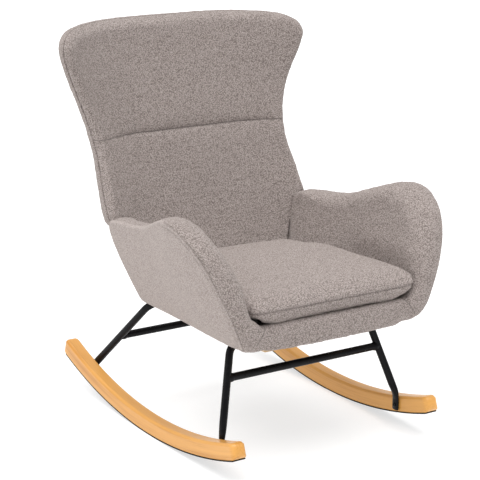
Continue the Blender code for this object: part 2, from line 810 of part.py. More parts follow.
def make_cushion(finishes):
    """A box cushion: flat below, drawn in at its seam and crowned on top."""
    right = list(CUSHION_OUTLINE)
    loop = even_loop(right + [(-a, b) for a, b in reversed(right[1:-1])], CUSHION_LOOP_POINTS)
    low = DECK_TOP + GAP
    seam = low + CUSHION_HEIGHT
    width = inside_x(CUSHION_CENTRE[1], seam)

    def place(share, y, z):
        y += CUSHION_REAR_LEAN * (z - low) * clamp(y / CUSHION_LEAN_START)
        return Vector((share * (inside_x(y, z) - CUSHION_SIDE_CLEARANCE), y, z))

    steps = [
        (CUSHION_BOTTOM_ROUND, 1.0, low),
        (CUSHION_BOTTOM_ROUND, 0.50, low),
        (CUSHION_BOTTOM_ROUND, 0.0, low),
        (CUSHION_BOTTOM_ROUND * 0.25, 0.0, low + CUSHION_BOTTOM_ROUND * 0.5),
        (0.0, 0.0, low + CUSHION_HEIGHT * 0.5),
        (0.0, 0.0, seam - CUSHION_DRAW_IN * 2.0),
        (CUSHION_DRAW_IN, 0.0, seam),
    ]
    for inward, share, rise in CUSHION_TOP_STEPS:
        steps.append((CUSHION_TOP_ROUND * inward, share, seam + CUSHION_CROWN * rise))
    profile = [(cushion_insets(loop, width, inset), share, z) for inset, share, z in steps]
    ring_solid("seat_cushion", loop, CUSHION_CENTRE, profile, place, finishes["fabric"])


# Wing back.

def back_middle_y(x, z):
    """The middle surface of the back: it leans back, and its wings turn forward."""
    rise = z - BACK_BOTTOM
    y = BACK_BOTTOM_Y + BACK_LOWER_LEAN * rise - BACK_LEAN_FALLOFF * rise * rise
    wing = max(abs(x) - BACK_WING_START, 0.0)
    curve = BACK_WING_CURVE + BACK_WING_TOP_CURVE * max(z - BACK_WING_TOP_START, 0.0)
    return y - curve * wing * wing


def back_place(x, z, depth):
    return Vector((x, back_middle_y(x, z) + depth, z))


def back_loop():
    half = [(x, z) for z, x in BACK_SIDE] + list(BACK_TOP_CORNER)
    points = [(0.0, BACK_BOTTOM), (0.080, BACK_BOTTOM), (0.150, BACK_BOTTOM)] + half
    points += [(0.0, BACK_TOP)]
    points += [(-x, z) for x, z in reversed(points[1:-1])]
    return [(x, max(z, BACK_BOTTOM)) for x, z in even_loop(points, BACK_LOOP_POINTS)]


def back_half_width(z):
    """Half the back's width at a height, from its side points."""
    return between(BACK_SIDE, z)


def back_frame_half_width(z):
    """Half the width that the frame may have: it follows the sides late where they flare out."""
    late = STILE_INSET * ramp(z, BACK_FLARE_START, BACK_FLARE_START + STILE_INSET * 2.0)
    return min(back_half_width(z), back_half_width(z - late))


def back_insets(loop, size):
    """An edge round for each point, small where the back stands between the arms."""
    crisp = ARM_CRISP_EDGE
    return [crisp + (size - crisp) * ramp(z, BACK_SOFT_BOTTOM, BACK_SOFT_TOP) for _, z in loop]


BACK_FRONT_SHARES = (0.12, 0.30, 0.52, 0.76)
BACK_REAR_SHARES = (0.10, 0.24, 0.42, 0.62, 0.82)


def make_back(finishes):
    loop = back_loop()
    half = BACK_HALF_THICKNESS
    edge = back_insets(loop, BACK_EDGE_ROUND)
    lip = [BACK_LIP_INSET + BACK_LIP_THICKNESS] * len(loop)

    profile = [(edge, 1.0, -half)]
    profile += [(edge, share, -half) for share in reversed(BACK_FRONT_SHARES)]
    profile += bullnose(edge, -half, 1.0, 0.0, 4)
    profile += [(BACK_LIP_INSET, 0.0, BACK_SPLIT_DEPTH), (lip, 0.0, BACK_SPLIT_DEPTH)]
    profile += [(lip, 0.0, BACK_POCKET_FLOOR)]
    profile += [(lip, share, BACK_POCKET_FLOOR) for share in BACK_REAR_SHARES]
    profile += [(lip, 1.0, BACK_POCKET_FLOOR)]
    pad = ring_solid("back_front_pad", loop, BACK_CENTRE, profile, back_place, finishes["fabric"])
    cut(pad, make_seam_cutter(finishes["fabric"]))

    split = BACK_SPLIT_DEPTH + GAP
    inner = [e + GAP for e in lip]
    profile = [(edge, 1.0, half)]
    profile += [(edge, share, half) for share in reversed(BACK_REAR_SHARES)]
    profile += [(edge, 0.0, half)]
    for inward, depth in COVER_ROUND:
        profile.append(([e * inward for e in edge], 0.0, half * depth))
    profile += [(BACK_LIP_INSET, 0.0, split), (lip, 0.0, split)]
    profile += [(inner, 0.0, BACK_COVER_INNER)]
    profile += [(inner, share, BACK_COVER_INNER) for share in BACK_REAR_SHARES]
    profile += [(inner, 1.0, BACK_COVER_INNER)]
    ring_solid("back_rear_cover", loop, BACK_CENTRE, profile, back_place, finishes["fabric"])


def make_seam_cutter(finish):
    """A curved wedge that leaves the sewn channel across the front of the back."""
    reach = back_half_width(BACK_SEAM_HEIGHT) + BACK_SEAM_OVERRUN
    half = BACK_SEAM_WIDTH * 2.0
    face = -BACK_HALF_THICKNESS
    ahead = face - BACK_SEAM_DEPTH * 3.0
    section = ((-half, ahead), (half, ahead), (0.0, face + BACK_SEAM_DEPTH))

    def place(x, rise, depth):
        return back_place(x, BACK_SEAM_HEIGHT + rise, depth)

    return prism("back_seam_channel", section, spread(-reach, reach, 25), place, finish)


def make_back_frame(finishes):
    front = BACK_FRAME_FRONT
    rear = front + BACK_FRAME_THICKNESS
    bottom = BACK_BOTTOM + BACK_LIP_INSET + BACK_LIP_THICKNESS + GAP
    top = BACK_RAIL_HEIGHTS["top"] - BACK_RAIL_WIDTH / 2.0
    for side, label in ((1.0, "left"), (-1.0, "right")):
        def place(share, z, depth, s=side):
            x = back_frame_half_width(z) - STILE_INSET - STILE_WIDTH * share
            return back_place(s * x, z, depth)
        block(
            f"back_stile_{label}", (0.0, 0.5, 1.0), spread(bottom + STILE_RAISE, top, 22),
            (front, rear), place, finishes["timber"],
        )
    for label, height in BACK_RAIL_HEIGHTS.items():
        low = height - BACK_RAIL_WIDTH / 2.0
        high = height + BACK_RAIL_WIDTH / 2.0
        if label == "bottom":
            low = bottom
        margin = STILE_INSET + STILE_WIDTH + BACK_JOINT_GAP
        if label == "top":
            low = top + GAP
            margin = STILE_INSET + TOP_RAIL_INSET

        def place_rail(share, z, depth, m=margin):
            return back_place(share * (back_frame_half_width(z) - m), z, depth)

        block(
            f"back_{label}_rail", spread(-1.0, 1.0, 19), spread(low, high, 3),
            (front, rear), place_rail, finishes["timber"],
        )


def make_back_webbing(finishes):
    rear = BACK_FRAME_FRONT - GAP
    front = rear - STRAP_THICKNESS
    for i, height in enumerate(BACK_STRAP_HEIGHTS):
        half = BACK_STRAP_WIDTH / 2.0

        def place(share, z, depth):
            margin = STILE_INSET + STILE_WIDTH - BACK_STRAP_OVERLAP
            return back_place(share * (back_frame_half_width(z) - margin), z, depth)

        block(
            f"back_strap_{i + 1}", spread(-1.0, 1.0, 25), (height - half, height, height + half),
            (front, rear), place, finishes["webbing"],
        )


# Plates and screws.

def screw_profile(length):
    head = SCREW_HEAD / 2.0
    shank = SCREW_SHANK / 2.0
    return ((0.0, head * SCREW_CROWN), (SCREW_HEAD_HEIGHT / 2.0, head), (SCREW_HEAD_HEIGHT, head),
            (SCREW_HEAD_HEIGHT, shank), (SCREW_HEAD_HEIGHT + length, shank))


def make_screw(name, start, axis, length, targets, finishes):
    """A screw whose head ends at start, and the holes it needs in what it passes through."""
    axis = Vector(axis)
    base = Vector(start) - axis * (SCREW_HEAD_HEIGHT + GAP)
    turned(name, screw_profile(length), base, axis, finishes["screw"])
    radius = SCREW_SHANK / 2.0 + HOLE_CLEARANCE
    hole = turned(
        f"{name}_hole", ((0.0, radius), (length + HOLE_EXTRA + HOLE_START, radius)),
        Vector(start) - axis * HOLE_START, axis, finishes["screw"],
    )
    for target in targets:
        cut(bpy.data.objects[target], hole)


def make_plates(finishes):
    top = FRAME_BOTTOM - GAP
    low = top - PLATE_THICKNESS
    bends = {}
    for label, foot_y, foot_end, rake, splay, lean in LEG_FRAMES:
        _, _, bend = leg_frame_path(foot_y, foot_end, rake, splay, lean)
        bends[label] = leg_point(bend, rake, splay, TUBE_AXIS_HEIGHT).y
    half = PLATE_WIDTH / 2.0
    for side, side_label in ((1.0, "left"), (-1.0, "right")):
        x = side * PLATE_X
        y = bends["front"]
        block(
            f"front_plate_{side_label}", (x - half, x + half),
            (y - FRONT_PLATE_LENGTH / 2.0, y + FRONT_PLATE_LENGTH / 2.0), (low, top),
            lambda u, v, w: Vector((u, v, w)), finishes["tube"],
        )
        for step, label in ((-FRONT_SCREW_OFFSET, "a"), (FRONT_SCREW_OFFSET, "b")):
            make_screw(
                f"front_plate_screw_{side_label}_{label}", (x, y + step, low), (0.0, 0.0, 1.0),
                SCREW_LENGTH, (f"front_plate_{side_label}", f"side_rail_{side_label}"), finishes,
            )
        y = bends["rear"]
        block(
            f"rear_plate_{side_label}", (x - half, x + half),
            (y - REAR_PLATE_FRONT, y + REAR_PLATE_REAR), (low, top),
            lambda u, v, w: Vector((u, v, w)), finishes["tube"],
        )
        for offset, label in zip(REAR_SCREW_OFFSETS, "ab"):
            make_screw(
                f"rear_plate_screw_{side_label}_{label}", (x, y - offset, low), (0.0, 0.0, 1.0),
                SCREW_LENGTH, (f"rear_plate_{side_label}", f"side_rail_{side_label}"), finishes,
            )
        make_screw(
            f"back_bolt_{side_label}", (side * BACK_BOLT_X, REAR_RAIL_FRONT, BACK_BOLT_HEIGHT),
            (0.0, 1.0, 0.0), BACK_BOLT_LENGTH,
            ("rear_rail", "back_front_pad", "back_bottom_rail"), finishes,
        )


LEG_FRAMES = (
    ("front", FRONT_FOOT_Y, FRONT_FOOT_END, FRONT_LEG_RAKE, FRONT_LEG_SPLAY, 0.0),
    ("rear", REAR_FOOT_Y, REAR_FOOT_END, REAR_LEG_RAKE, REAR_LEG_SPLAY, REAR_LEG_RAKE),
)


def make_legs(finishes):
    bars = {"front": FRONT_BAR_HEIGHT, "rear": REAR_BAR_HEIGHT}
    screws = {"front": FRONT_SCREW_HEIGHT, "rear": REAR_SCREW_HEIGHT}
    for label, foot_y, foot_end, rake, splay, lean in LEG_FRAMES:
        make_leg_frame(f"{label}_leg_frame", foot_y, foot_end, rake, splay, lean, finishes["tube"])
        make_crossbar(
            f"{label}_crossbar", foot_y, foot_end, rake, splay, lean, bars[label], finishes["tube"]
        )
        height = screws[label]
        y = foot_y - lean * (FOOT_BEND_HEIGHT - height)
        for side, side_label in ((1.0, "left"), (-1.0, "right")):
            make_screw(
                f"{label}_foot_screw_{side_label}",
                (side * (FOOT_X - FOOT_THICKNESS / 2.0), y, height), (side, 0.0, 0.0),
                SCREW_LENGTH, (f"{label}_leg_frame", f"rocker_{side_label}"), finishes,
            )


def main():
    for obj in list(bpy.data.objects):
        bpy.data.objects.remove(obj)
    finishes = make_materials()
    for side, label in ((1.0, "left"), (-1.0, "right")):
        make_rocker(f"rocker_{label}", side, finishes["wood"])
        make_strip(f"grip_strip_{label}", side, finishes["strip"])
        make_arm(side, label, finishes)
    make_seat_frame(finishes)
    make_seat_webbing(finishes)
    make_deck(finishes)
    make_apron(finishes)
    make_dust_cover(finishes)
    make_cushion(finishes)
    make_back(finishes)
    make_back_frame(finishes)
    make_back_webbing(finishes)
    make_legs(finishes)
    make_plates(finishes)


main()
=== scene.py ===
"""The looks of a wingback rocking chair, built around its packed model.

Metres, +Z up. The chair faces -Y and the sitter's left is +X. Run it as a script in Blender 4.5.
"""

import json
import math

import bmesh
import bpy
import numpy as np
from mathutils import Matrix, Vector, noise
from mathutils.bvhtree import BVHTree
from mathutils.geometry import delaunay_2d_cdt

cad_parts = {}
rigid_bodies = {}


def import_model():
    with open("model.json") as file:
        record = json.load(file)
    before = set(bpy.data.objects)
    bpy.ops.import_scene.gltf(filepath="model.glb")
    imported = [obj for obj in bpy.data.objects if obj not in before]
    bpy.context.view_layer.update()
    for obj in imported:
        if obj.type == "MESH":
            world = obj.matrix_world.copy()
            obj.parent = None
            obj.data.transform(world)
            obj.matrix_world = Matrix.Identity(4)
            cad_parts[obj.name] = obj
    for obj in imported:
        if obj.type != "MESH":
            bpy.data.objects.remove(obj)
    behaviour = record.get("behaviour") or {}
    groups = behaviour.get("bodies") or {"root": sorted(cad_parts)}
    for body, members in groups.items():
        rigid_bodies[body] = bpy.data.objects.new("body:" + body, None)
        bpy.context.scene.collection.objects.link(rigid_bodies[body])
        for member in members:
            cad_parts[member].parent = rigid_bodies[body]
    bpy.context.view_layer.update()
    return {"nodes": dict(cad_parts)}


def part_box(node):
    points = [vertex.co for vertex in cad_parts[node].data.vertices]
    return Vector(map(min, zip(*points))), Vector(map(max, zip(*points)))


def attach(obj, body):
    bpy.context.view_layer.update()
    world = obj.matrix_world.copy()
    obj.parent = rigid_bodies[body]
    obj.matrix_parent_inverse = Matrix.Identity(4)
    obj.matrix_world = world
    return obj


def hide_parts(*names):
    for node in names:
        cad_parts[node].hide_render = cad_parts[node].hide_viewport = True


for startup_object in list(bpy.data.objects):
    bpy.data.objects.remove(startup_object)
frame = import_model()

bl_info = {
    "name": "Wingback rocking chair",
    "version": (1, 0, 0),
    "blender": (4, 5, 0),
    "location": "3D View > Sidebar > Chair",
    "description": "Upholstery, wood and steel for a wingback rocking chair",
    "category": "Object",
}

CHAIR = "chair"
CUSHION = "cushion"
SIDES = ((1.0, "left"), (-1.0, "right"))
GAP = 0.0003

# Arm walls, as the packed arms have them: outline points are (y, z).
WALL_MIDDLE_HEIGHT = 0.390
WALL_MIDDLE_X = 0.243
WALL_SLOPE = 0.380
WALL_FRONT_SLOPE = 0.430
WALL_CURVE = 0.450
WALL_BULGE = 0.024
WALL_BULGE_Y = -0.280
WALL_BULGE_LENGTH = 0.170
ARM_HALF = 0.031
ARM_ROUND = 0.031
ARM_OUTER_ROUND = 0.011
ARM_CRISP_EDGE = 0.006
ARM_LIP = 0.003
ARM_OVERHANG = 0.018
ARM_FLARE = 0.020
ARM_CENTRE = (-0.130, 0.430)
ARM_OUTLINE = (
    (0.030, 0.2985), (0.100, 0.2975), (0.122, 0.305), (0.130, 0.340), (0.141, 0.390),
    (0.152, 0.440), (0.157, 0.475), (0.155, 0.501), (0.141, 0.521), (0.100, 0.530), (0.050, 0.535),
    (0.000, 0.541), (-0.050, 0.551), (-0.100, 0.569), (-0.150, 0.588), (-0.200, 0.604),
    (-0.240, 0.609), (-0.275, 0.604), (-0.312, 0.587), (-0.346, 0.560), (-0.373, 0.524),
    (-0.392, 0.480), (-0.404, 0.430), (-0.409, 0.380), (-0.407, 0.340), (-0.394, 0.314),
    (-0.360, 0.304), (-0.250, 0.303), (-0.100, 0.3005),
)

# Rises over the arms along Y or Z: (where each starts, where it is full).
WALL_FRONT_Y = (0.000, -0.200)
WALL_BULGE_Z = (0.295, 0.355)
ARM_ROUND_Y = (0.130, 0.080)
ARM_ROUND_Z = (0.330, 0.380)
ARM_FLARE_Y = (-0.150, -0.350)
ARM_FLARE_Z = (0.300, 0.360)
ARM_OVERHANG_Y = (-0.060, -0.200)
ARM_OVERHANG_Z = (0.395, 0.480)
ARM_SEAM_Y = (-0.195, -0.255)
ARM_SEAM_FOOT_Y = (-0.335, -0.365)
ARM_SEAM_Z = (0.312, 0.342)

# Rises of the same kind where the apron runs into the arms. CORNER_X is measured from the arm.
APRON_FILLET_Z = (0.330, 0.360)
APRON_BLEND = (0.80, 0.98)
CORNER_X = (-0.045, -0.015)
CORNER_Y = (-0.325, -0.345)
CORNER_FOOT_Z = (0.325, 0.350)
CORNER_TOP_Z = (0.440, 0.400)

# Apron, deck and cushion.
FRONT_RAIL_Y = -0.378
APRON_FRONT = -0.403
APRON_BOW = 0.010
APRON_BOTTOM = 0.3062
APRON_REAR = -0.345
APRON_LIP_TOP = 0.3705
APRON_LOW_ROUND = 0.012
APRON_TOP_ROUND = 0.016
APRON_FILLET = 0.016
DECK_TOP = 0.3605
DECK_LOW = 0.3372
DECK_REAR = 0.080
CUSHION_LOW = DECK_TOP + GAP
CUSHION_SEAM = 0.4020
CUSHION_CROWN = 0.034
CUSHION_SHOULDER = 0.060
CUSHION_DOME = 0.004
CUSHION_DOME_REACH = (0.040, 0.160)
CUSHION_REAR_DROP = 0.72
CUSHION_REAR_Y = (-0.110, 0.090)
CUSHION_REAR_LEAN = 0.55
CUSHION_CORNER_LIFT = 0.42
CUSHION_CORNER_SHARE = (0.70, 1.00)
CUSHION_CORNER_Y = (-0.290, -0.380)
CUSHION_LEAN_Y = 0.100
CUSHION_CENTRE = (0.0, -0.130)
FOAM_PRESSURE = 4.0
FOAM_CAP = 0.003
FOAM_FRAMES = 20
CUSHION_OUTLINE = (
    (0.00, -0.405), (0.40, -0.405), (0.70, -0.4045), (0.86, -0.404), (0.94, -0.4025), (0.990, -0.398),
    (1.022, -0.386), (1.035, -0.366), (1.030, -0.335), (1.012, -0.280), (1.000, -0.200), (0.995, -0.100),
    (0.992, 0.000), (0.975, 0.055), (0.91, 0.084), (0.75, 0.096), (0.40, 0.102), (0.00, 0.104),
)

# Spacing of the mesh where no size of the add-on sets it.
FUSED_GRID = 0.008
BLANK_GRID = 0.010
COARSE_GRID = 0.012
HIDDEN_GRID = 0.020

# Wing back: side points are (z, half width), top corner points are (half width, z).
BACK_HALF = 0.036
BACK_ROUND = 0.026
BACK_ROUND_Z = (0.490, 0.550)
BACK_BOTTOM = 0.300
BACK_TOP = 0.985
BACK_WING_START = 0.110
BACK_WING_CURVE = 1.45
BACK_WING_TOP_CURVE = 2.2
BACK_WING_TOP_START = 0.800
BACK_BOTTOM_Y = 0.106
BACK_LOWER_LEAN = 0.669
BACK_LEAN_FALLOFF = 0.342
BACK_SEAM_HEIGHT = 0.700
BACK_SEAM_DEPTH = -0.009
BACK_CENTRE = (0.0, 0.660)
BACK_FOLD_X = -0.155
BACK_FOLD_Z = 0.690
BACK_SIDE = (
    (0.300, 0.168), (0.330, 0.183), (0.370, 0.202), (0.410, 0.220), (0.445, 0.2400),
    (0.468, 0.258), (0.484, 0.278), (0.497, 0.292), (0.520, 0.297), (0.555, 0.297), (0.590, 0.294),
    (0.630, 0.289), (0.664, 0.287), (0.700, 0.290), (0.740, 0.297), (0.786, 0.311),
    (0.835, 0.330), (0.880, 0.349), (0.905, 0.357),
)
BACK_TOP_CORNER = (
    (0.361, 0.925), (0.358, 0.943), (0.349, 0.957), (0.333, 0.968), (0.309, 0.976),
    (0.250, 0.981), (0.150, 0.984),
)

# Rockers and leg frames.
ROCKER_RADIUS = 1.264
ROCKER_CONTACT_Y = -0.013
ROCKER_FLAT = 0.060
ROCKER_FRONT_LENGTH = 0.4215
ROCKER_REAR_LENGTH = 0.472
ROCKER_HEIGHT = 0.040
ROCKER_THICKNESS = 0.038
ROCKER_X = 0.2825
STRIP_THICKNESS = 0.003
STRIP_FRONT_LENGTH = 0.408
STRIP_REAR_LENGTH = 0.456
ARC_CENTRE_Z = ROCKER_RADIUS * math.cos(ROCKER_FLAT / ROCKER_RADIUS / 2.0)
TUBE_RADIUS = 0.0095
TUBE_BEND = 0.035
TUBE_TOP_Z = 0.2869
CROSSBAR_RADIUS = 0.0097
WELD_LENGTH = 0.010
WELD_FLARE = 0.0018
FOOT_THICKNESS = 0.008
FOOT_WIDTH = 0.023
FOOT_BEND_Z = 0.090
FOOT_X = ROCKER_X - ROCKER_THICKNESS / 2.0 - GAP - FOOT_THICKNESS / 2.0
LEG_BEND_X = ROCKER_X - 0.0255
LEG_FRAMES = {
    "front": {"y": -0.300, "end": 0.042, "rake": 0.267, "splay": 0.283, "bar": 0.210,
              "lean": 0.0, "screw": 0.056},
    "rear": {"y": 0.321, "end": 0.066, "rake": -0.967, "splay": 0.263, "bar": 0.176,
             "lean": -0.967, "screw": 0.077},
}

# Foot screw, from its tip to the floor of its socket: (distance along, radius, hexagon or round).
SCREW_RINGS = (
    (0.0220, 0.0018, False), (0.0212, 0.0025, False), (0.0, 0.0025, False), (0.0, 0.0047, False),
    (-0.0003, 0.0050, False), (-0.0014, 0.0050, False), (-0.0024, 0.0042, False),
    (-0.0028, 0.0032, False), (-0.0028, 0.0026, True), (-0.0012, 0.0022, True),
)

# Valleys where the back meets the arms: how far they reach, and how deep they are.
TUB_VALLEY = (0.008, 0.0035)
BACK_VALLEY = (0.007, 0.0030)

# Lines of painted shade along the seams: the cloth's colour is darkened along each, see looped_cloth.
APRON_SEAM_SHADE = (0.819, 0.573, 0.3768, 0.50, (0.326, 0.392), (-0.380, -0.370))
BACK_SEAM_SHADE = (0.0, 1.0, BACK_SEAM_HEIGHT, 0.55, (0.600, 0.800), (5.0, 6.0))
CUSHION_SEAM_SHADE = (0.0, 1.0, CUSHION_SEAM, 0.32, (0.300, 0.500), (5.0, 6.0))

# Dust cover under the seat.
DUST_COVER_SAG = 0.0020
DUST_COVER_RIPPLE = 0.0006

# Stage.
FLOOR_REACH = 14
SKY_STRENGTH = 0.62
SUN_ENERGY = 3.10
SUN_ANGLE = 1.2
SUN_AIM = (0.12, 0.04, -1.0)
SIDE_LIGHT_PLACE = (-3.8, 0.2, 1.6)
SIDE_LIGHT_TARGET = (0.0, 0.0, 0.45)
SIDE_LIGHT_SIZE = (2.6, 2.0)
SIDE_LIGHT_POWER = 13.0

# Camera, from the photograph's viewpoint.
CAMERA_PLACE = (-2.186634, -3.390951, 1.547385)
CAMERA_AZIMUTH = -32.63
CAMERA_ELEVATION = 15.14
CAMERA_LENS = 123.75
CAMERA_SENSOR = 36.0
CAMERA_REACH = 60.0


# Sizes and colours that a user would change.

def length(name, description, default):
    return bpy.props.FloatProperty(
        name=name, description=description, default=default, min=0.0, unit="LENGTH", precision=4
    )


def colour(name, description, default):
    return bpy.props.FloatVectorProperty(
        name=name, description=description, default=default, min=0.0, max=1.0, size=3,
        subtype="COLOR",
    )


class ChairSizes(bpy.types.PropertyGroup):
    """Sizes of the upholstery's details."""

    pad_grid: length("Pad grid", "Spacing of the mesh over the back and the panels", 0.005)
    tub_grid: length("Tub grid", "Spacing of the mesh over the arms and the apron", 0.004)
    cushion_grid: length("Cushion grid", "Spacing of the mesh that the cushion is sewn from", 0.005)
    pile: length("Pile", "Height of the lumps in the looped cloth", 0.0008)
    seam_depth: length("Seam depth", "Depth of the seam across the back", 0.0045)
    seam_width: length("Seam width", "Half width of that seam's sharp part", 0.0040)
    band_height: length("Band height", "Height of the sewn band round the side panels", 0.0022)
    band_width: length("Band width", "Width of the sewn band round the side panels", 0.0095)
    panel_roll: length("Panel roll", "Radius of the panels' rolled edges", 0.0100)
    stitch_length: length("Stitch length", "Length of one stitch", 0.0042)
    stitch_pitch: length("Stitch pitch", "Distance from stitch to stitch", 0.0060)
    thread: length("Thread", "Thickness of the sewing thread", 0.0010)
    rocker_chamfer: length("Rocker chamfer", "Chamfer of the rockers' upper edges", 0.0056)
    rocker_nose: length("Rocker nose", "Length of the rounding at the rockers' ends", 0.0180)


class ChairColours(bpy.types.PropertyGroup):
    """Colours of the finishes."""

    cloth_light: colour("Cloth, loops", "Light loops of the cloth", (0.466, 0.404, 0.380))
    # Painted shade between the loops; also the dark end of the random tint and of the painted seam
    # shade.
    cloth_dark: colour("Cloth, shade", "Between the loops of the cloth", (0.185, 0.153, 0.140))
    wood_light: colour("Wood, light", "Pale grain of the rockers", (0.765, 0.388, 0.098))
    wood_dark: colour("Wood, dark", "Dark grain of the rockers", (0.500, 0.208, 0.032))
    steel: colour("Steel coating", "Powder coat of the tubes", (0.004, 0.004, 0.005))
    floor: colour("Floor", "Floor of the stage", (0.50, 0.50, 0.50))


# Small tools for arrays of points.

def curve_weights(t):
    """Shares of four neighbouring points in a smooth curve, a share t past the second."""
    return (
        -0.5 * t + t * t - 0.5 * t**3,
        1.0 - 2.5 * t * t + 1.5 * t**3,
        0.5 * t + 2.0 * t * t - 1.5 * t**3,
        -0.5 * t * t + 0.5 * t**3,
    )


def smooth_loop(points, count):
    """Evenly spaced points on the smooth closed curve through the given points."""
    points = np.array(points, float)
    weights = np.stack(curve_weights(np.arange(12) / 12.0), axis=1)
    spans = np.stack([np.roll(points, 1 - k, axis=0) for k in range(4)], axis=1)
    fine = np.einsum("sk,nkd->nsd", weights, spans).reshape(-1, points.shape[1])
    line = np.vstack([fine, fine[:1]])
    steps = np.linalg.norm(np.diff(line, axis=0), axis=1)
    along = np.concatenate([[0.0], np.cumsum(steps)])
    want = np.linspace(0.0, along[-1], count, endpoint=False)
    return np.stack([np.interp(want, along, line[:, k]) for k in range(line.shape[1])], axis=1)


def mirrored(half):
    """A whole outline from the half on the sitter's left, whose ends are on the middle line."""
    half = list(half)
    return half + [(-a, b) for a, b in reversed(half[1:-1])]


def inset(loop, centre, depth, share=0.0):
    """The loop moved inwards by depth, then by a share of the way to its centre."""
    along = np.roll(loop, -1, axis=0) - np.roll(loop, 1, axis=0)
    along /= np.linalg.norm(along, axis=1)[:, None]
    inward = np.array(centre) - loop
    reach = np.linalg.norm(inward, axis=1)
    inward /= reach[:, None]
    square = np.abs(inward[:, 0] * along[:, 1] - inward[:, 1] * along[:, 0])
    moved = depth / np.maximum(square, 0.5)
    moved = moved + (reach - moved) * share
    return loop + inward * moved[:, None]


def distance_to(loop, points):
    """How far each flat point is from the closed loop."""
    a = loop[None, :, :]
    b = np.roll(loop, -1, axis=0)[None, :, :]
    out = np.empty(len(points))
    for start in range(0, len(points), 2000):
        p = points[start:start + 2000, None, :]
        run = b - a
        t = np.clip(((p - a) * run).sum(2) / np.maximum((run * run).sum(2), 1e-18), 0.0, 1.0)
        near = a + run * t[..., None]
        out[start:start + 2000] = np.sqrt(((p - near) ** 2).sum(2).min(1))
    return out


def inside(loop, points):
    """Which flat points lie inside the closed loop."""
    a = loop
    b = np.roll(loop, -1, axis=0)
    within = np.zeros(len(points), bool)
    for (ax, ay), (bx, by) in zip(a, b):
        if ay == by:
            continue
        crosses = (points[:, 1] < ay) != (points[:, 1] < by)
        at = ax + (points[:, 1] - ay) * (bx - ax) / (by - ay)
        within ^= crosses & (points[:, 0] < at)
    return within


def ramped(value, start, full):
    """0 at the start, 1 where it is full, and a straight rise between them."""
    return np.clip((value - start) / (full - start), 0.0, 1.0)


def eased(value, start, full):
    """The same rise, with soft ends."""
    share = ramped(value, start, full)
    return share * share * (3.0 - 2.0 * share)


def bell(value, width):
    """1 at 0, fading out either way over about the width."""
    return np.exp(-(value / width) ** 2)


def lumps(points, size, seed=0.0):
    """Smooth noise from about -1 to 1 at each point, with lumps of the given size."""
    shift = Vector((seed, seed * 1.7, seed * 0.6))
    return np.array([noise.noise(Vector(p) / size + shift) for p in points]) * 1.8


# Meshes.

def new_object(name, mesh):
    obj = bpy.data.objects.new(name, mesh)
    bpy.context.scene.collection.objects.link(obj)
    return obj


def tidy_shell(mesh, angle=None):
    """Merges doubles, turns faces outwards and shades smoothly, below the angle if one is given."""
    work = bmesh.new()
    work.from_mesh(mesh)
    bmesh.ops.remove_doubles(work, verts=work.verts, dist=1e-6)
    bmesh.ops.recalc_face_normals(work, faces=work.faces)
    work.to_mesh(mesh)
    work.free()
    mesh.shade_smooth()
    if angle is not None:
        mesh.set_sharp_from_angle(angle=math.radians(angle))


def mesh_piece(name, points, faces, material, angle=None):
    """A closed piece in one material."""
    mesh = bpy.data.meshes.new(name)
    mesh.from_pydata([tuple(p) for p in points], [], [list(f) for f in faces])
    tidy_shell(mesh, angle)
    mesh.materials.append(material)
    return new_object(name, mesh)


def ring_faces(count, rings):
    """Quads between neighbouring rings of points."""
    here = np.arange(count)
    after = (here + 1) % count
    faces = []
    for n in range(rings - 1):
        a = n * count
        b = a + count
        faces += np.stack([a + here, a + after, b + after, b + here], axis=1).tolist()
    return faces


def tube_faces(count, rings):
    """Quads between the rings of a tube, and a flat face at each of its ends."""
    last = (rings - 1) * count
    return ring_faces(count, rings) + [list(range(count)), list(range(last, last + count))]


def spokes(count, across, other):
    """Even directions round a circle, as Vectors."""
    turns = [2.0 * math.pi * i / count for i in range(count)]
    return [across * math.cos(turn) + other * math.sin(turn) for turn in turns]


def even_fill(ring, spacing, anchor):
    """An even grid of points inside a flat ring, and the triangles that join it to the ring."""
    low = ring.min(axis=0)
    high = ring.max(axis=0)
    start = anchor + np.floor((low - anchor) / spacing) * spacing
    xs = np.arange(start[0], high[0] + spacing, spacing)
    ys = np.arange(start[1], high[1] + spacing, spacing)
    grid = np.stack(np.meshgrid(xs, ys), axis=2).reshape(-1, 2)
    grid = grid[inside(ring, grid)]
    grid = grid[distance_to(ring, grid) > spacing * 0.55]
    count = len(ring)
    points = [Vector(p) for p in np.vstack([ring, grid])]
    edges = [(i, (i + 1) % count) for i in range(count)]
    made = delaunay_2d_cdt(points, edges, [], 1, 1e-7)
    origin = [found[0] if found else 0 for found in made[3]]
    return grid, [[origin[i] for i in face] for face in made[2]]


def pad_piece(name, loop, centre, border, place, spacing, anchor, material, rear_spacing=None):
    """A closed pad: rings over its edge and an even grid over its front and rear faces.

    Each border step is (insets, depth), from the front face round to the rear face.
    """
    count = len(loop)
    rings = [inset(loop, centre, insets) for insets, _ in border]
    depths = [np.broadcast_to(np.asarray(depth, float), (count,)) for _, depth in border]
    flat = [np.vstack(rings)]
    depth = [np.concatenate(depths)]
    faces = ring_faces(count, len(rings))
    total = count * len(rings)
    ends = ((0, spacing), (len(rings) - 1, rear_spacing or spacing))
    for index, step in ends:
        grid, triangles = even_fill(rings[index], step, np.array(anchor))
        first = index * count
        for triangle in triangles:
            faces.append([first + i if i < count else total + i - count for i in triangle])
        flat.append(grid)
        depth.append(np.full(len(grid), float(border[index][1])))
        total += len(grid)
    points = place(np.vstack(flat), np.concatenate(depth))
    return mesh_piece(name, points, faces, material)


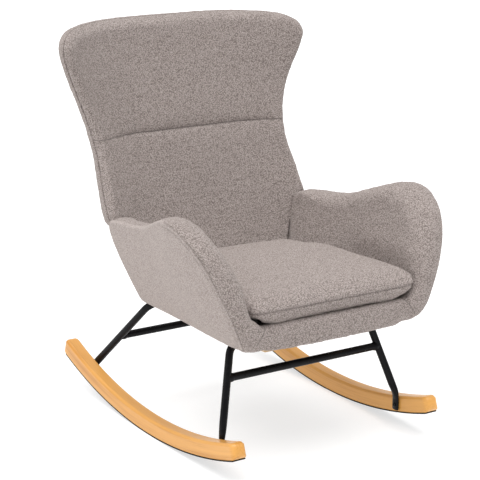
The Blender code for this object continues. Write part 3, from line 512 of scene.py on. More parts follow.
def swept_piece(name, path, sections, material):
    """A tube along a path. Each section is (half size across X, half size the other way)."""
    path = [Vector(p) for p in path]
    sides = 28
    tangents = []
    for i in range(len(path)):
        before = path[max(i - 1, 0)]
        after = path[min(i + 1, len(path) - 1)]
        tangents.append((after - before).normalized())
    across = Vector((1.0, 0.0, 0.0))
    across = (across - tangents[0] * across.dot(tangents[0])).normalized()
    points = []
    for i, (point, tangent) in enumerate(zip(path, tangents)):
        if i:
            across = tangents[i - 1].rotation_difference(tangent) @ across
            across = (across - tangent * across.dot(tangent)).normalized()
        other = tangent.cross(across)
        wide, deep = sections[i]
        points += [point + spoke for spoke in spokes(sides, across * wide, other * deep)]
    return mesh_piece(name, points, tube_faces(sides, len(path)), material, angle=50.0)


def turned_piece(name, profile, start, axis, material):
    """A piece turned about an axis from (distance along, radius) steps."""
    sides = 40
    axis = Vector(axis).normalized()
    across = axis.orthogonal().normalized()
    around = spokes(sides, across, axis.cross(across))
    points = []
    for along, radius in profile:
        points += [Vector(start) + axis * along + spoke * radius for spoke in around]
    return mesh_piece(name, points, tube_faces(sides, len(profile)), material, angle=30.0)


def joined(name, pieces):
    """One object from several, with its place kept in its mesh."""
    work = bmesh.new()
    material = pieces[0].data.materials[0]
    for piece in pieces:
        work.from_mesh(piece.data)
    mesh = bpy.data.meshes.new(name)
    work.to_mesh(mesh)
    work.free()
    mesh.materials.append(material)
    for piece in pieces:
        bpy.data.objects.remove(piece)
    return new_object(name, mesh)


def evaluated_mesh(obj):
    """The object with its modifiers taken into its mesh."""
    bpy.context.view_layer.update()
    graph = bpy.context.evaluated_depsgraph_get()
    mesh = bpy.data.meshes.new_from_object(obj.evaluated_get(graph), depsgraph=graph)
    obj.modifiers.clear()
    obj.data = mesh
    return obj


def fused(obj, spacing):
    """One even skin over the overlapping bodies of an object."""
    step = obj.modifiers.new("skin", "REMESH")
    step.mode = "VOXEL"
    step.voxel_size = spacing
    step.use_smooth_shade = True
    return evaluated_mesh(obj)


def points_of(obj):
    points = np.empty(len(obj.data.vertices) * 3)
    obj.data.vertices.foreach_get("co", points)
    return points.reshape(-1, 3)


def set_points(obj, points):
    obj.data.vertices.foreach_set("co", np.ascontiguousarray(points, dtype=float).reshape(-1))
    obj.data.update()


def normals_of(obj):
    normals = np.empty(len(obj.data.vertices) * 3)
    obj.data.vertex_normals.foreach_get("vector", normals)
    return normals.reshape(-1, 3)


def edges_of(obj):
    edges = np.empty(len(obj.data.edges) * 2, np.int64)
    obj.data.edges.foreach_get("vertices", edges)
    return edges.reshape(-1, 2)


def pulled_together(obj, pulls, weight=1.0):
    """Moves each point towards the middle of its neighbours, once for each pull."""
    edges = edges_of(obj)
    points = points_of(obj)
    count = np.bincount(edges.reshape(-1), minlength=len(points))[:, None]
    for pull in pulls:
        total = np.zeros_like(points)
        np.add.at(total, edges[:, 0], points[edges[:, 1]])
        np.add.at(total, edges[:, 1], points[edges[:, 0]])
        points = points + (total / count - points) * pull * weight
    set_points(obj, points)


def relaxed(obj, rounds):
    """Evens out a skin with little shrinking: each pull inwards is followed by one outwards."""
    pulled_together(obj, (0.55, -0.57) * rounds)


def softened(obj, rounds, weight):
    """Rounds off a skin where the weight is high."""
    pulled_together(obj, (0.5,) * rounds, weight[:, None])


def with_pile(obj, height, size=0.006):
    """Gives a skin the small uneven lumps of looped cloth."""
    points = points_of(obj)
    rise = lumps(points, size) * 0.6 + lumps(points, size * 3.0, seed=7.0) * 0.7
    set_points(obj, points + normals_of(obj) * (rise * height)[:, None])


def pressed_by(obj, other, reach, depth):
    """Sinks a skin where another one meets it, which leaves a dark valley between them."""
    tree = BVHTree.FromPolygons(
        points_of(other).tolist(), [tuple(face.vertices) for face in other.data.polygons]
    )
    points = points_of(obj)
    normals = normals_of(obj)
    for i, point in enumerate(points):
        found = tree.find_nearest(Vector(point), reach)
        if found[0] is not None:
            points[i] = point - normals[i] * depth * (1.0 - found[3] / reach)
    set_points(obj, points)


# Node trees.

class Value:
    """One output in a shader tree, which takes part in Python sums."""

    def __init__(self, nodes, socket):
        self.nodes = nodes
        self.socket = socket

    def sum(self, operation, other, first=False):
        ends = (other, self) if first else (self, other)
        return self.nodes.math(operation, *ends)

    def __add__(self, other):
        return self.sum("ADD", other)

    def __radd__(self, other):
        return self.sum("ADD", other)

    def __sub__(self, other):
        return self.sum("SUBTRACT", other)

    def __rsub__(self, other):
        return self.sum("SUBTRACT", other, first=True)

    def __mul__(self, other):
        return self.sum("MULTIPLY", other)

    def __rmul__(self, other):
        return self.sum("MULTIPLY", other)

    def __truediv__(self, other):
        return self.sum("DIVIDE", other)

    def __rtruediv__(self, other):
        return self.sum("DIVIDE", other, first=True)

    def __pow__(self, other):
        return self.sum("POWER", other)

    def above(self, other):
        return self.sum("MAXIMUM", other)

    def below(self, other):
        return self.sum("MINIMUM", other)


class Nodes:
    """Adds nodes to one tree."""

    def __init__(self, tree):
        self.tree = tree

    def add(self, kind, settings=None, inputs=None, out=0):
        """One node: its settings first, then the values or links of its sockets."""
        node = self.tree.nodes.new(kind)
        for key, value in (settings or {}).items():
            if key == "stops":
                ramp = node.color_ramp.elements
                while len(ramp) < len(value):
                    ramp.new(0.5)
                for element, (place, shade) in zip(ramp, value):
                    element.position = place
                    element.color = (*shade, 1.0)
            else:
                setattr(node, key, value)
        for key, value in (inputs or {}).items():
            socket = node.inputs[key]
            if isinstance(value, Value):
                self.tree.links.new(value.socket, socket)
            else:
                socket.default_value = value
        return Value(self, node.outputs[out])

    def math(self, operation, *values):
        return self.add("ShaderNodeMath", {"operation": operation}, dict(enumerate(values)))


class Finish(Nodes):
    """A material being made."""

    def __init__(self, name):
        self.material = bpy.data.materials.new(name)
        self.material.use_nodes = True
        super().__init__(self.material.node_tree)
        self.shader = self.tree.nodes["Principled BSDF"]

    def place(self):
        return self.add("ShaderNodeTexCoord", out="Object")

    def axes(self, vector):
        split = self.add("ShaderNodeSeparateXYZ", {}, {0: vector})
        return [Value(self, output) for output in split.socket.node.outputs]

    def vector(self, x, y, z):
        return self.add("ShaderNodeCombineXYZ", {}, {0: x, 1: y, 2: z})

    def moved(self, vector, other, operation="ADD"):
        return self.add("ShaderNodeVectorMath", {"operation": operation}, {0: vector, 1: other})

    def noise(self, vector, scale, detail=2.0, roughness=0.5, out=0):
        inputs = {"Vector": vector, "Scale": scale, "Detail": detail, "Roughness": roughness}
        return self.add("ShaderNodeTexNoise", {}, inputs, out)

    def cells(self, vector, scale, feature="SMOOTH_F1", **more):
        inputs = {"Vector": vector, "Scale": scale, **more}
        return self.add("ShaderNodeTexVoronoi", {"feature": feature}, inputs)

    def ramp(self, value, *stops):
        return self.add("ShaderNodeValToRGB", {"stops": stops}, {0: value})

    def mixed(self, factor, one, two):
        inputs = {0: factor}
        for key, end in ((6, one), (7, two)):
            inputs[key] = end if isinstance(end, Value) else (*end, 1.0)
        return self.add("ShaderNodeMix", {"data_type": "RGBA"}, inputs, out=2)

    def scaled(self, value, low, high, new_low=0.0, new_high=1.0):
        inputs = {0: value, 1: low, 2: high, 3: new_low, 4: new_high}
        return self.add("ShaderNodeMapRange", {}, inputs)

    def bump(self, height, distance, strength):
        inputs = {"Height": height, "Distance": distance, "Strength": strength}
        return self.add("ShaderNodeBump", {}, inputs)

    def two_toned(self, pattern, span, one, two, rough, relief, depth, strength, **more):
        """A finish from tone one to tone two over the pattern's span, which sets its roughness too."""
        return self.done(
            Base_Color=self.mixed(self.scaled(pattern, *span), one, two),
            Roughness=self.scaled(pattern, 0.3, 0.7, *rough),
            Normal=self.bump(relief, depth, strength), **more,
        )

    def done(self, **values):
        """Sets the shader's sockets, named with _ for each space, and returns the material."""
        for key, value in values.items():
            socket = self.shader.inputs[key.replace("_", " ")]
            if isinstance(value, Value):
                self.tree.links.new(value.socket, socket)
            elif isinstance(value, tuple) and len(value) == 3 and socket.type == "RGBA":
                socket.default_value = (*value, 1.0)
            else:
                socket.default_value = value
        return self.material


# Finishes.

def looped_cloth(name, light, dark, curl=0.0028, depth=0.0026, streaks=0.0, seam=None):
    """Cloth of small curled loops: pale tops, dark gaps and soft uneven patches.

    A seam is (share of |x|, share of z, distance, darkness, span of z, span of y): the cloth is
    darker in the crease along that line.
    """
    f = Finish(name)
    place = f.place()
    wander = f.moved(f.noise(place, 170.0, out="Color"), (0.5, 0.5, 0.5), "SUBTRACT")
    wander = f.moved(wander, (0.0045, 0.0045, 0.0045), "MULTIPLY")
    curled = f.moved(place, wander)
    loops = f.cells(curled, 1.0 / curl, Smoothness=0.35)
    knots = f.cells(curled, 1.9 / curl, feature="F1")
    threads = f.noise(place, 1500.0, detail=3.0, roughness=0.65)
    height = (1.0 - loops) * 0.62 + (1.0 - knots) * 0.26 + threads * 0.30
    patches = f.noise(place, 34.0, detail=3.0, roughness=0.6)
    shade = f.scaled(height, 0.46, 0.90)
    shade = (shade + (patches - 0.5) * 0.10).above(0.0).below(1.0)
    if streaks:
        x, y, z = f.axes(place)
        brushed = f.noise(f.vector(x, y, z * 0.22), 95.0, detail=3.0)
        shade = (shade + (brushed - 0.5) * streaks).above(0.0).below(1.0)
    middle = tuple(a * 0.42 + b * 0.58 for a, b in zip(dark, light))
    pale = tuple(min(b * 1.16 + 0.012, 1.0) for b in light)
    # Painted shade and highlight: the colour runs from the shade tone in the low gaps between loops to a
    # paler tone on the highest loop tops.
    base = f.ramp(shade, (0.0, dark), (0.34, middle), (0.68, light), (1.0, pale))
    tint = f.noise(place, 420.0, detail=1.0)
    base = f.mixed(f.scaled(tint, 0.40, 0.72, 0.0, 0.30), base, dark)
    # Painted shade along the seam: the colour is mixed towards a darker copy of the shade tone.
    if seam:
        x, y, z = f.axes(place)
        by_x, by_z, distance, shade_strength, span, reach = seam
        sideways = f.math("ABSOLUTE", x)
        wander = (f.noise(f.vector(x, 0.0, 0.0), 28.0, detail=1.0) - 0.5) * 0.0030
        away = f.math("ABSOLUTE", sideways * by_x + z * by_z + wander * (by_x + 0.6) - distance)
        seam_shade = f.scaled(away, 0.0004, 0.0026, shade_strength, 0.0)
        seam_shade = seam_shade * f.scaled(z, span[0], span[0] + 0.008)
        seam_shade = seam_shade * f.scaled(z, span[1] - 0.008, span[1], 1.0, 0.0)
        seam_shade = seam_shade * f.scaled(y, reach[0], reach[1], 1.0, 0.0)
        base = f.mixed(seam_shade, base, tuple(c * 0.35 for c in dark))
    normal = f.bump(height, depth, 0.85)
    return f.done(
        Base_Color=base, Roughness=f.scaled(threads, 0.3, 0.7, 0.86, 1.0), Normal=normal,
        Sheen_Weight=0.22, Sheen_Roughness=0.55, Sheen_Tint=(0.92, 0.86, 0.82),
        Specular_IOR_Level=0.18,
    )


def lacquered_wood(name, light, dark):
    """Lacquered wood whose grain follows the rockers' arc."""
    f = Finish(name)
    x, y, z = f.axes(f.place())
    out = y - ROCKER_CONTACT_Y
    down = ARC_CENTRE_Z - z
    reach = (out * out + down * down) ** 0.5
    along = f.math("ARCTAN2", out, down) * ROCKER_RADIUS
    across = f.vector(x * 30.0, reach * 30.0, along * 1.5)
    bands = f.noise(across, 1.0, detail=5.0, roughness=0.62)
    lines = f.noise(f.vector(x * 190.0, reach * 190.0, along * 5.0), 1.0, detail=3.0)
    wide = f.noise(f.vector(x * 9.0, reach * 14.0, along * 2.2), 1.0, detail=2.0)
    shade = bands * 0.55 + lines * 0.25 + wide * 0.35
    middle = tuple(a * 0.7 + b * 0.3 for a, b in zip(light, dark))
    base = f.ramp(f.scaled(shade, 0.42, 0.72), (0.0, light), (0.55, middle), (1.0, dark))
    pores = f.scaled(f.noise(f.vector(x * 700.0, reach * 700.0, along * 22.0), 1.0), 0.60, 0.72)
    base = f.mixed(pores * 0.22, base, dark)
    return f.done(
        Base_Color=base, Roughness=f.scaled(bands, 0.3, 0.7, 0.30, 0.42),
        Normal=f.bump(lines, 0.0003, 0.25), Coat_Weight=0.20, Coat_Roughness=0.25,
        Specular_IOR_Level=0.35,
    )


def powder_coat(name, tone):
    """Black powder coat with a fine grain and faint wear."""
    f = Finish(name)
    place = f.place()
    grain = f.noise(place, 1400.0, detail=2.0)
    wear = f.noise(place, 24.0, detail=3.0)
    paler = tuple(min(c + 0.004, 1.0) for c in tone)
    return f.two_toned(
        wear, (0.35, 0.7), tone, paler, rough=(0.22, 0.32), relief=grain, depth=0.0002, strength=0.30,
        Specular_IOR_Level=0.12,
    )


def blackened_steel(name):
    """Dark scuffed steel of screws and bolts."""
    f = Finish(name)
    scuffs = f.noise(f.place(), 600.0, detail=4.0, roughness=0.7)
    return f.two_toned(
        scuffs, (0.45, 0.75), (0.020, 0.020, 0.022), (0.070, 0.070, 0.072), rough=(0.28, 0.50),
        relief=scuffs, depth=0.0001, strength=0.4, Metallic=1.0,
    )


def pressed_felt(name):
    """Dark felt with short hairs."""
    f = Finish(name)
    hairs = f.noise(f.place(), 900.0, detail=4.0, roughness=0.75)
    return f.two_toned(
        hairs, (0.35, 0.7), (0.006, 0.006, 0.007), (0.020, 0.020, 0.020), rough=(0.88, 1.0),
        relief=hairs, depth=0.0006, strength=0.8,
    )


def sawn_timber(name, light, dark):
    """Bare timber with its grain and saw marks."""
    f = Finish(name)
    x, y, z = f.axes(f.place())
    rings = f.noise(f.vector(x * 14.0, y * 60.0, z * 60.0), 1.0, detail=5.0)
    marks = f.noise(f.vector(x * 300.0, y * 20.0, z * 20.0), 1.0, detail=2.0)
    return f.two_toned(
        rings, (0.35, 0.68), light, dark, rough=(0.65, 0.85), relief=marks, depth=0.0004, strength=0.5,
    )


def woven_band(name, tone, pitch):
    """A close plain weave."""
    f = Finish(name)
    x, y, z = f.axes(f.place())
    turns = 2.0 * math.pi / pitch
    weave = f.math("SINE", x * turns) * f.math("SINE", (y + z) * turns) * 0.5 + 0.5
    fuzz = f.noise(f.vector(x, y, z), 500.0, detail=2.0)
    pale = tuple(min(c * 2.2 + 0.02, 1.0) for c in tone)
    return f.done(
        Base_Color=f.mixed((weave * 0.7 + fuzz * 0.3), tone, pale),
        Roughness=f.scaled(fuzz, 0.3, 0.7, 0.80, 0.95), Normal=f.bump(weave, 0.0004, 0.7),
    )


def sewing_thread(name, tone):
    """Twisted thread."""
    f = Finish(name)
    twist = f.noise(f.place(), 2200.0, detail=2.0)
    pale = tuple(min(c * 1.3, 1.0) for c in tone)
    return f.two_toned(
        twist, (0.35, 0.7), tone, pale, rough=(0.70, 0.90), relief=twist, depth=0.0002, strength=0.6,
    )


def studio_floor(name, tone):
    """Plain pale floor, faintly speckled."""
    f = Finish(name)
    speckle = f.noise(f.place(), 60.0, detail=3.0)
    dimmer = tuple(c * 0.992 for c in tone)
    return f.done(
        Base_Color=f.mixed(speckle, tone, dimmer), Roughness=f.scaled(speckle, 0.3, 0.7, 0.90, 0.96),
        Specular_IOR_Level=0.1, Emission_Color=(1.0, 1.0, 1.0), Emission_Strength=0.62,
    )


def finish(name):
    """The material of this name, made the first time it is asked for."""
    found = bpy.data.materials.get(name)
    if found:
        return found
    tones = bpy.context.scene.chair_colours
    light = tuple(tones.cloth_light)
    dark = tuple(tones.cloth_dark)
    makers = {
        "boucle": lambda: looped_cloth(name, light, dark),
        "tub_cloth": lambda: looped_cloth(name, light, dark, seam=APRON_SEAM_SHADE),
        "back_cloth": lambda: looped_cloth(name, light, dark, seam=BACK_SEAM_SHADE),
        "cushion_cloth": lambda: looped_cloth(name, light, dark, seam=CUSHION_SEAM_SHADE),
        "panel_cloth": lambda: looped_cloth(
            name, tuple(c * 1.04 for c in light), tuple(0.3 * a + 0.7 * b for a, b in zip(light, dark)),
            depth=0.0018, streaks=0.35,
        ),
        "honey_wood": lambda: lacquered_wood(name, tuple(tones.wood_light), tuple(tones.wood_dark)),
        "tube_coat": lambda: powder_coat(name, tuple(tones.steel)),
        "screw_steel": lambda: blackened_steel(name),
        "strip_felt": lambda: pressed_felt(name),
        "frame_timber": lambda: sawn_timber(name, (0.66, 0.48, 0.29), (0.46, 0.30, 0.16)),
        "frame_ply": lambda: sawn_timber(name, (0.70, 0.54, 0.35), (0.52, 0.37, 0.21)),
        "elastic_web": lambda: woven_band(name, (0.022, 0.022, 0.024), 0.0030),
        "dust_cloth": lambda: woven_band(name, (0.012, 0.012, 0.013), 0.0016),
        "thread": lambda: sewing_thread(name, tuple(c * 0.62 for c in light)),
        "floor": lambda: studio_floor(name, tuple(tones.floor)),
    }
    return makers[name]()


# Shapes that follow the packed model.

def wall_x(y, z):
    """Half the distance between the middles of the two arm walls."""
    rise = z - WALL_MIDDLE_HEIGHT
    ahead = ramped(y, *WALL_FRONT_Y)
    slope = WALL_SLOPE + (WALL_FRONT_SLOPE - WALL_SLOPE) * ahead * (rise > 0.0)
    bulge = WALL_BULGE * bell(y - WALL_BULGE_Y, WALL_BULGE_LENGTH)
    bulge = bulge * (0.35 + 0.65 * eased(z, *WALL_BULGE_Z))
    return WALL_MIDDLE_X + slope * rise - WALL_CURVE * rise * rise + bulge


def inside_x(y, z):
    """Half the distance between the two arm walls."""
    return wall_x(y, z) - ARM_HALF


def arm_rounds(loop):
    """The inner edge round at each point of the arm's outline, widest where the front flares."""
    y, z = loop.T
    within = ramped(z, *ARM_ROUND_Z) * ramped(y, *ARM_ROUND_Y)
    flare = eased(y, *ARM_FLARE_Y) * eased(z, *ARM_FLARE_Z)
    return ARM_CRISP_EDGE + (ARM_ROUND - ARM_CRISP_EDGE) * within + ARM_FLARE * flare


def seam_share(y, z):
    """1 where the arm's outer seam shows, down its front, and 0 where the panel rolls over."""
    above = eased(z, *ARM_SEAM_Z)
    return eased(y, *ARM_SEAM_Y) * above + eased(y, *ARM_SEAM_FOOT_Y) * (1.0 - above)


def back_middle_y(x, z):
    """The middle surface of the back: it leans back, and its wings turn forward."""
    rise = z - BACK_BOTTOM
    y = BACK_BOTTOM_Y + BACK_LOWER_LEAN * rise - BACK_LEAN_FALLOFF * rise * rise
    wing = np.maximum(np.abs(x) - BACK_WING_START, 0.0)
    curve = BACK_WING_CURVE + BACK_WING_TOP_CURVE * np.maximum(z - BACK_WING_TOP_START, 0.0)
    return y - curve * wing * wing


def back_outline(count):
    """The outline of the back, as (x, z) points."""
    half = [(x, z) for z, x in BACK_SIDE] + list(BACK_TOP_CORNER)
    half = [(0.0, BACK_BOTTOM), (0.080, BACK_BOTTOM), (0.150, BACK_BOTTOM)] + half
    loop = smooth_loop(mirrored(half + [(0.0, BACK_TOP)]), count)
    loop[:, 1] = np.maximum(loop[:, 1], BACK_BOTTOM)
    return loop


def quarter(steps):
    """Angles from 0 to a quarter turn."""
    return [0.5 * math.pi * i / steps for i in range(steps + 1)]


def edge_round(width, depth, angles):
    """Border steps (insets, depth) round a pad's edge."""
    return [(width * (1.0 - math.cos(angle)), depth * math.sin(angle)) for angle in angles]


# The tub: both arm walls and the apron between them.

def arm_wall(side, cloth):
    """One padded arm wall, whose top rolls in over the seat."""
    loop = smooth_loop(ARM_OUTLINE, 240)
    inner = arm_rounds(loop)
    outer = ARM_OUTER_ROUND
    border = edge_round(inner, ARM_HALF, reversed(quarter(10)))
    border += edge_round(outer, -ARM_HALF, quarter(10)[1:])
    border.append((outer + 0.004, -ARM_HALF + 0.004))

    def place(flat, depth):
        y, z = flat.T
        over = ARM_OVERHANG * eased(z, *ARM_OVERHANG_Z) * eased(y, *ARM_OVERHANG_Y)
        inward = depth + over * ramped(depth, 0.0, ARM_HALF)
        return np.stack([side * (wall_x(y, z) - inward), y, z], axis=1)

    return pad_piece("arm", loop, ARM_CENTRE, border, place, FUSED_GRID, (0.0, 0.0), cloth)


def apron_section():
    """The apron's (y, z) outline where it meets neither arm, from its foot up and over its lip."""
    low = APRON_LOW_ROUND
    top = APRON_TOP_ROUND
    section = [(FRONT_RAIL_Y + 0.020, APRON_BOTTOM)]
    for angle in quarter(6):
        section.append((
            APRON_FRONT + low * (1.0 - math.sin(angle)), APRON_BOTTOM + low * (1.0 - math.cos(angle)),
        ))
    for z in np.linspace(APRON_BOTTOM + low, APRON_LIP_TOP - top, 6)[1:-1]:
        section.append((APRON_FRONT, z))
    for angle in quarter(8):
        section.append((
            APRON_FRONT + top * (1.0 - math.cos(angle)), APRON_LIP_TOP - top * (1.0 - math.sin(angle)),
        ))
    section += [
        (-0.376, APRON_LIP_TOP - 0.0035), (-0.365, DECK_TOP + 0.001), (APRON_REAR, DECK_TOP),
        (APRON_REAR, 0.342),
    ]
    return np.array(section)


def apron_body(cloth):
    """The apron, running into both arms with soft inner fillets."""
    outline = np.array(ARM_OUTLINE)
    front = outline[outline[:, 0] < -0.35]
    arm_front, heights = front[np.argsort(front[:, 1])].T
    shares = np.linspace(-1.0, 1.0, 121)
    fillet = APRON_FILLET
    section = apron_section()
    points = []
    for share in shares:
        y, z = section.T
        middle = wall_x(np.full_like(z, -0.385), z)
        x = share * middle
        from_wall = np.maximum(inside_x(np.full_like(z, -0.370), z) - np.abs(x), 0.0)
        lift = fillet - np.sqrt(np.maximum(fillet**2 - np.maximum(fillet - from_wall, 0.0) ** 2, 0.0))
        z = z + lift * eased(z, *APRON_FILLET_Z)
        level = np.interp(z, heights, arm_front)
        ahead = ramped(y, FRONT_RAIL_Y, APRON_FRONT)
        blend = eased(abs(share), *APRON_BLEND)
        bow = APRON_BOW * (1.0 - min(abs(share) / 0.86, 1.0) ** 2)
        y = y - bow * ahead + (level - APRON_FRONT) * ahead * blend
        points.append(np.stack([x, y, z], axis=1))
    return mesh_piece("apron", np.vstack(points), tube_faces(len(section), len(shares)), cloth)


def make_tub(sizes):
    """The arms and the apron under one skin of cloth."""
    cloth = finish("tub_cloth")
    walls = [arm_wall(side, cloth) for side, _ in SIDES]
    tub = joined("tub_cover", walls + [apron_body(cloth)])
    fused(tub, sizes.tub_grid)
    relaxed(tub, 4)
    x, y, z = points_of(tub).T
    corner = eased(np.abs(x) - inside_x(y, z), *CORNER_X) * eased(y, *CORNER_Y)
    softened(tub, 8, corner * eased(z, *CORNER_FOOT_Z) * eased(z, *CORNER_TOP_Z))
    with_pile(tub, sizes.pile)
    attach(tub, CHAIR)
    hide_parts("arm_pad_left", "arm_pad_right", "front_apron")


# Side panels with their sewn band.

def panel_loop():
    """The outline of a side panel, inside the arm's own."""
    loop = smooth_loop(ARM_OUTLINE, 300)
    share = seam_share(loop[:, 0], loop[:, 1])
    return inset(loop, ARM_CENTRE, ARM_LIP + 0.008 * share)


def panel_rise(distance, share, sizes):
    """How far the panel stands out from the wall at a distance from its edge."""
    width = sizes.band_width
    band = np.sqrt(np.maximum(np.sin(np.pi * ramped(distance, 0.0, width)), 0.0))
    sewn = sizes.band_height * band + 0.0010 * eased(distance, width, width + 0.004)
    turn = sizes.panel_roll
    rolled = np.sqrt(np.maximum(turn**2 - np.maximum(turn - distance, 0.0) ** 2, 0.0)) - turn
    rise = sewn * share + (rolled + 0.0012) * (1.0 - share)
    return rise + 0.0030 * (1.0 - np.exp(-np.maximum(distance - width, 0.0) / 0.050))


def make_panels(sizes):
    """The smooth outer panels, each with a sewn band along its edge."""
    cloth = finish("panel_cloth")
    loop = panel_loop()
    steps = [
        0.0, 0.0006, 0.0015, 0.0030, 0.0048, 0.0066, 0.0080, 0.0089, 0.0095, 0.0102, 0.0112, 0.0130,
        0.0155,
    ]
    scale = sizes.band_width / 0.0095
    border = [(np.full(len(loop), step * scale), 0.0) for step in reversed(steps)]
    border.append((np.full(len(loop), 0.0010), -0.0045))
    for side, label in SIDES:
        def place(flat, depth, s=side):
            y, z = flat.T
            distance = distance_to(loop, flat)
            share = seam_share(y, z)
            rear = -0.0045 - 0.0085 * (1.0 - share)
            out = np.where(depth < 0.0, rear, panel_rise(distance, share, sizes))
            return np.stack([s * (wall_x(y, z) + ARM_HALF + out), y, z], axis=1)

        panel = pad_piece(
            f"side_panel_cover_{label}", loop, ARM_CENTRE, border, place, sizes.pad_grid,
            (0.0, 0.0), cloth, rear_spacing=COARSE_GRID,
        )
        with_pile(panel, sizes.pile * 0.35)
        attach(panel, CHAIR)
        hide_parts(f"side_panel_{label}")


# Wing back.

def back_edge(loop):
    """The edge round at each point of the back's outline, small where the arms cover it."""
    return ARM_CRISP_EDGE + (BACK_ROUND - ARM_CRISP_EDGE) * ramped(loop[:, 1], *BACK_ROUND_Z)


def seam_dent(x, z, sizes):
    """How deep the seam across the back pulls its front face in."""
    away = z - BACK_SEAM_HEIGHT
    reach = np.clip((0.290 - np.abs(x - 0.020)) / 0.100, 0.22, 1.0)
    dent = sizes.seam_depth * bell(away, sizes.seam_width) + 0.0042 * bell(away, 0.020)
    folds = lumps(np.stack([x, z * 0.0, z * 0.0], axis=1), 0.017, seed=3.0)
    pulled = 0.0013 * folds * bell(away, 0.026) * (1.0 - bell(away, 0.004))
    return (dent + pulled) * reach


def back_crease(x, z):
    """The soft upright fold left of the middle of the seam."""
    away = x - BACK_FOLD_X
    valley = 0.0030 * bell(away, 0.006) + 0.0042 * bell(away - 0.016, 0.018)
    return valley * bell(z - BACK_FOLD_Z, 0.085)


def make_back(sizes):
    """The back's front pad and rear cover, which meet in a seam round its edge."""
    cloth = finish("boucle")
    front_cloth = finish("back_cloth")
    loop = back_outline(300)
    edge = back_edge(loop)
    seam_angle = math.asin(-BACK_SEAM_DEPTH / BACK_HALF)
    front = edge_round(edge, -BACK_HALF, np.linspace(0.5 * math.pi, seam_angle + 0.08, 13))
    tuck = edge * (1.0 - math.cos(seam_angle))
    front += [(tuck + 0.0022, BACK_SEAM_DEPTH - 0.0006), (tuck + 0.0075, BACK_SEAM_DEPTH - GAP)]

    def place(flat, depth):
        x, z = flat.T
        face = eased(depth, 0.0, -BACK_HALF)
        distance = distance_to(loop, flat)
        crown = 0.007 * (1.0 - np.exp(-distance / 0.080)) * face
        hollow = (seam_dent(x, z, sizes) + back_crease(x, z)) * face
        waves = lumps(np.stack([x, z * 0.0, z], axis=1), 0.120, seed=11.0) * 0.0016 * face
        return np.stack([x, back_middle_y(x, z) + depth - crown + hollow + waves, z], axis=1)

    pad = pad_piece(
        "back_pad", loop, BACK_CENTRE, front, place, sizes.pad_grid,
        (0.0, BACK_SEAM_HEIGHT), front_cloth, rear_spacing=HIDDEN_GRID,
    )
    with_pile(pad, sizes.pile)
    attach(pad, CHAIR)
    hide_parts("back_front_pad")

    rear = [(tuck + 0.0075, BACK_SEAM_DEPTH), (tuck + 0.0022, BACK_SEAM_DEPTH + 0.0006)]
    rear += edge_round(edge, BACK_HALF, np.linspace(-seam_angle + 0.08, 0.0, 4))
    rear += edge_round(edge, BACK_HALF, quarter(10)[1:])

    def place_rear(flat, depth):
        x, z = flat.T
        face = eased(depth, 0.0, BACK_HALF)
        distance = distance_to(loop, flat)
        crown = 0.003 * (1.0 - np.exp(-distance / 0.080)) * face
        waves = lumps(np.stack([x, z * 0.0, z], axis=1), 0.150, seed=5.0) * 0.0014 * face
        return np.stack([x, back_middle_y(x, z) + depth + crown + waves, z], axis=1)

    cover = pad_piece(
        "back_outer_cover", loop, BACK_CENTRE, rear[::-1], place_rear, sizes.pad_grid,
        (0.0, BACK_SEAM_HEIGHT), cloth, rear_spacing=HIDDEN_GRID,
    )
    with_pile(cover, sizes.pile)
    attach(cover, CHAIR)
    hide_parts("back_rear_cover")


def make_creases(sizes):
    """Presses the back and the tub apart along the line where they meet."""
    tub = bpy.data.objects["tub_cover"]
    back = bpy.data.objects["back_pad"]
    pressed_by(tub, back, *TUB_VALLEY)
    pressed_by(back, tub, *BACK_VALLEY)


# Seat cushion and deck.

def cushion_place(flat, height):
    """The cushion's points in space, from shares of the seat's half width and a distance back."""
    share, back = flat.T
    lean = CUSHION_REAR_LEAN * ramped(back, 0.0, CUSHION_LEAN_Y)
    y = back + lean * (height - CUSHION_LOW)
    return np.stack([share * (inside_x(y, height) - 0.002), y, height], axis=1)


def cushion_crown(distance, y):
    """Height of the cushion's top over its seam, at a distance from its edge."""
    near = ramped(distance, CUSHION_SHOULDER, 0.0)
    rise = CUSHION_CROWN * np.sqrt(1.0 - near * near)
    rise = rise + CUSHION_DOME * eased(distance, *CUSHION_DOME_REACH)
    return rise * (1.0 - CUSHION_REAR_DROP * eased(y, *CUSHION_REAR_Y))


def cushion_blank(cloth):
    """The cushion before it is filled: its top swells from the seam, its bottom is flat."""
    loop = smooth_loop(mirrored(CUSHION_OUTLINE), 260)
    width = float(inside_x(CUSHION_CENTRE[1], CUSHION_SEAM))
    along = np.abs(np.roll(loop, -1, axis=0) - np.roll(loop, 1, axis=0))
    across = along[:, 1] > along[:, 0] * width
    unit = np.where(across, 1.0 / width, 1.0)
    real = loop * np.array([width, 1.0])
    top = (0.060, 0.040, 0.026, 0.016, 0.009, 0.004, 0.0015)
    under = (
        (0.0, 0.0), (0.0, 0.008), (0.0010, 0.017), (0.0060, 0.024), (0.0140, 0.030), (0.0240, 0.0355),
        (0.0350, 0.0400),
    )
    border = [(unit * inward, CUSHION_SEAM + 0.001) for inward in top]
    border += [(unit * inward, CUSHION_SEAM - drop) for inward, drop in under]
    border.append((unit * 0.0460, CUSHION_LOW))

    def place(flat, height):
        share, y = flat.T
        distance = distance_to(real, flat * np.array([width, 1.0]))
        rise = np.where(height > CUSHION_SEAM, cushion_crown(distance, y), 0.0)
        corner = eased(np.abs(share), *CUSHION_CORNER_SHARE) * eased(y, *CUSHION_CORNER_Y)
        lift = CUSHION_CORNER_LIFT * corner * np.clip(CUSHION_SEAM - height, 0.0, 1.0)
        return cushion_place(flat, height + rise + lift)

    return pad_piece(
        "cushion_cover", loop, CUSHION_CENTRE, border, place, BLANK_GRID, (0.0, 0.0), cloth
    )


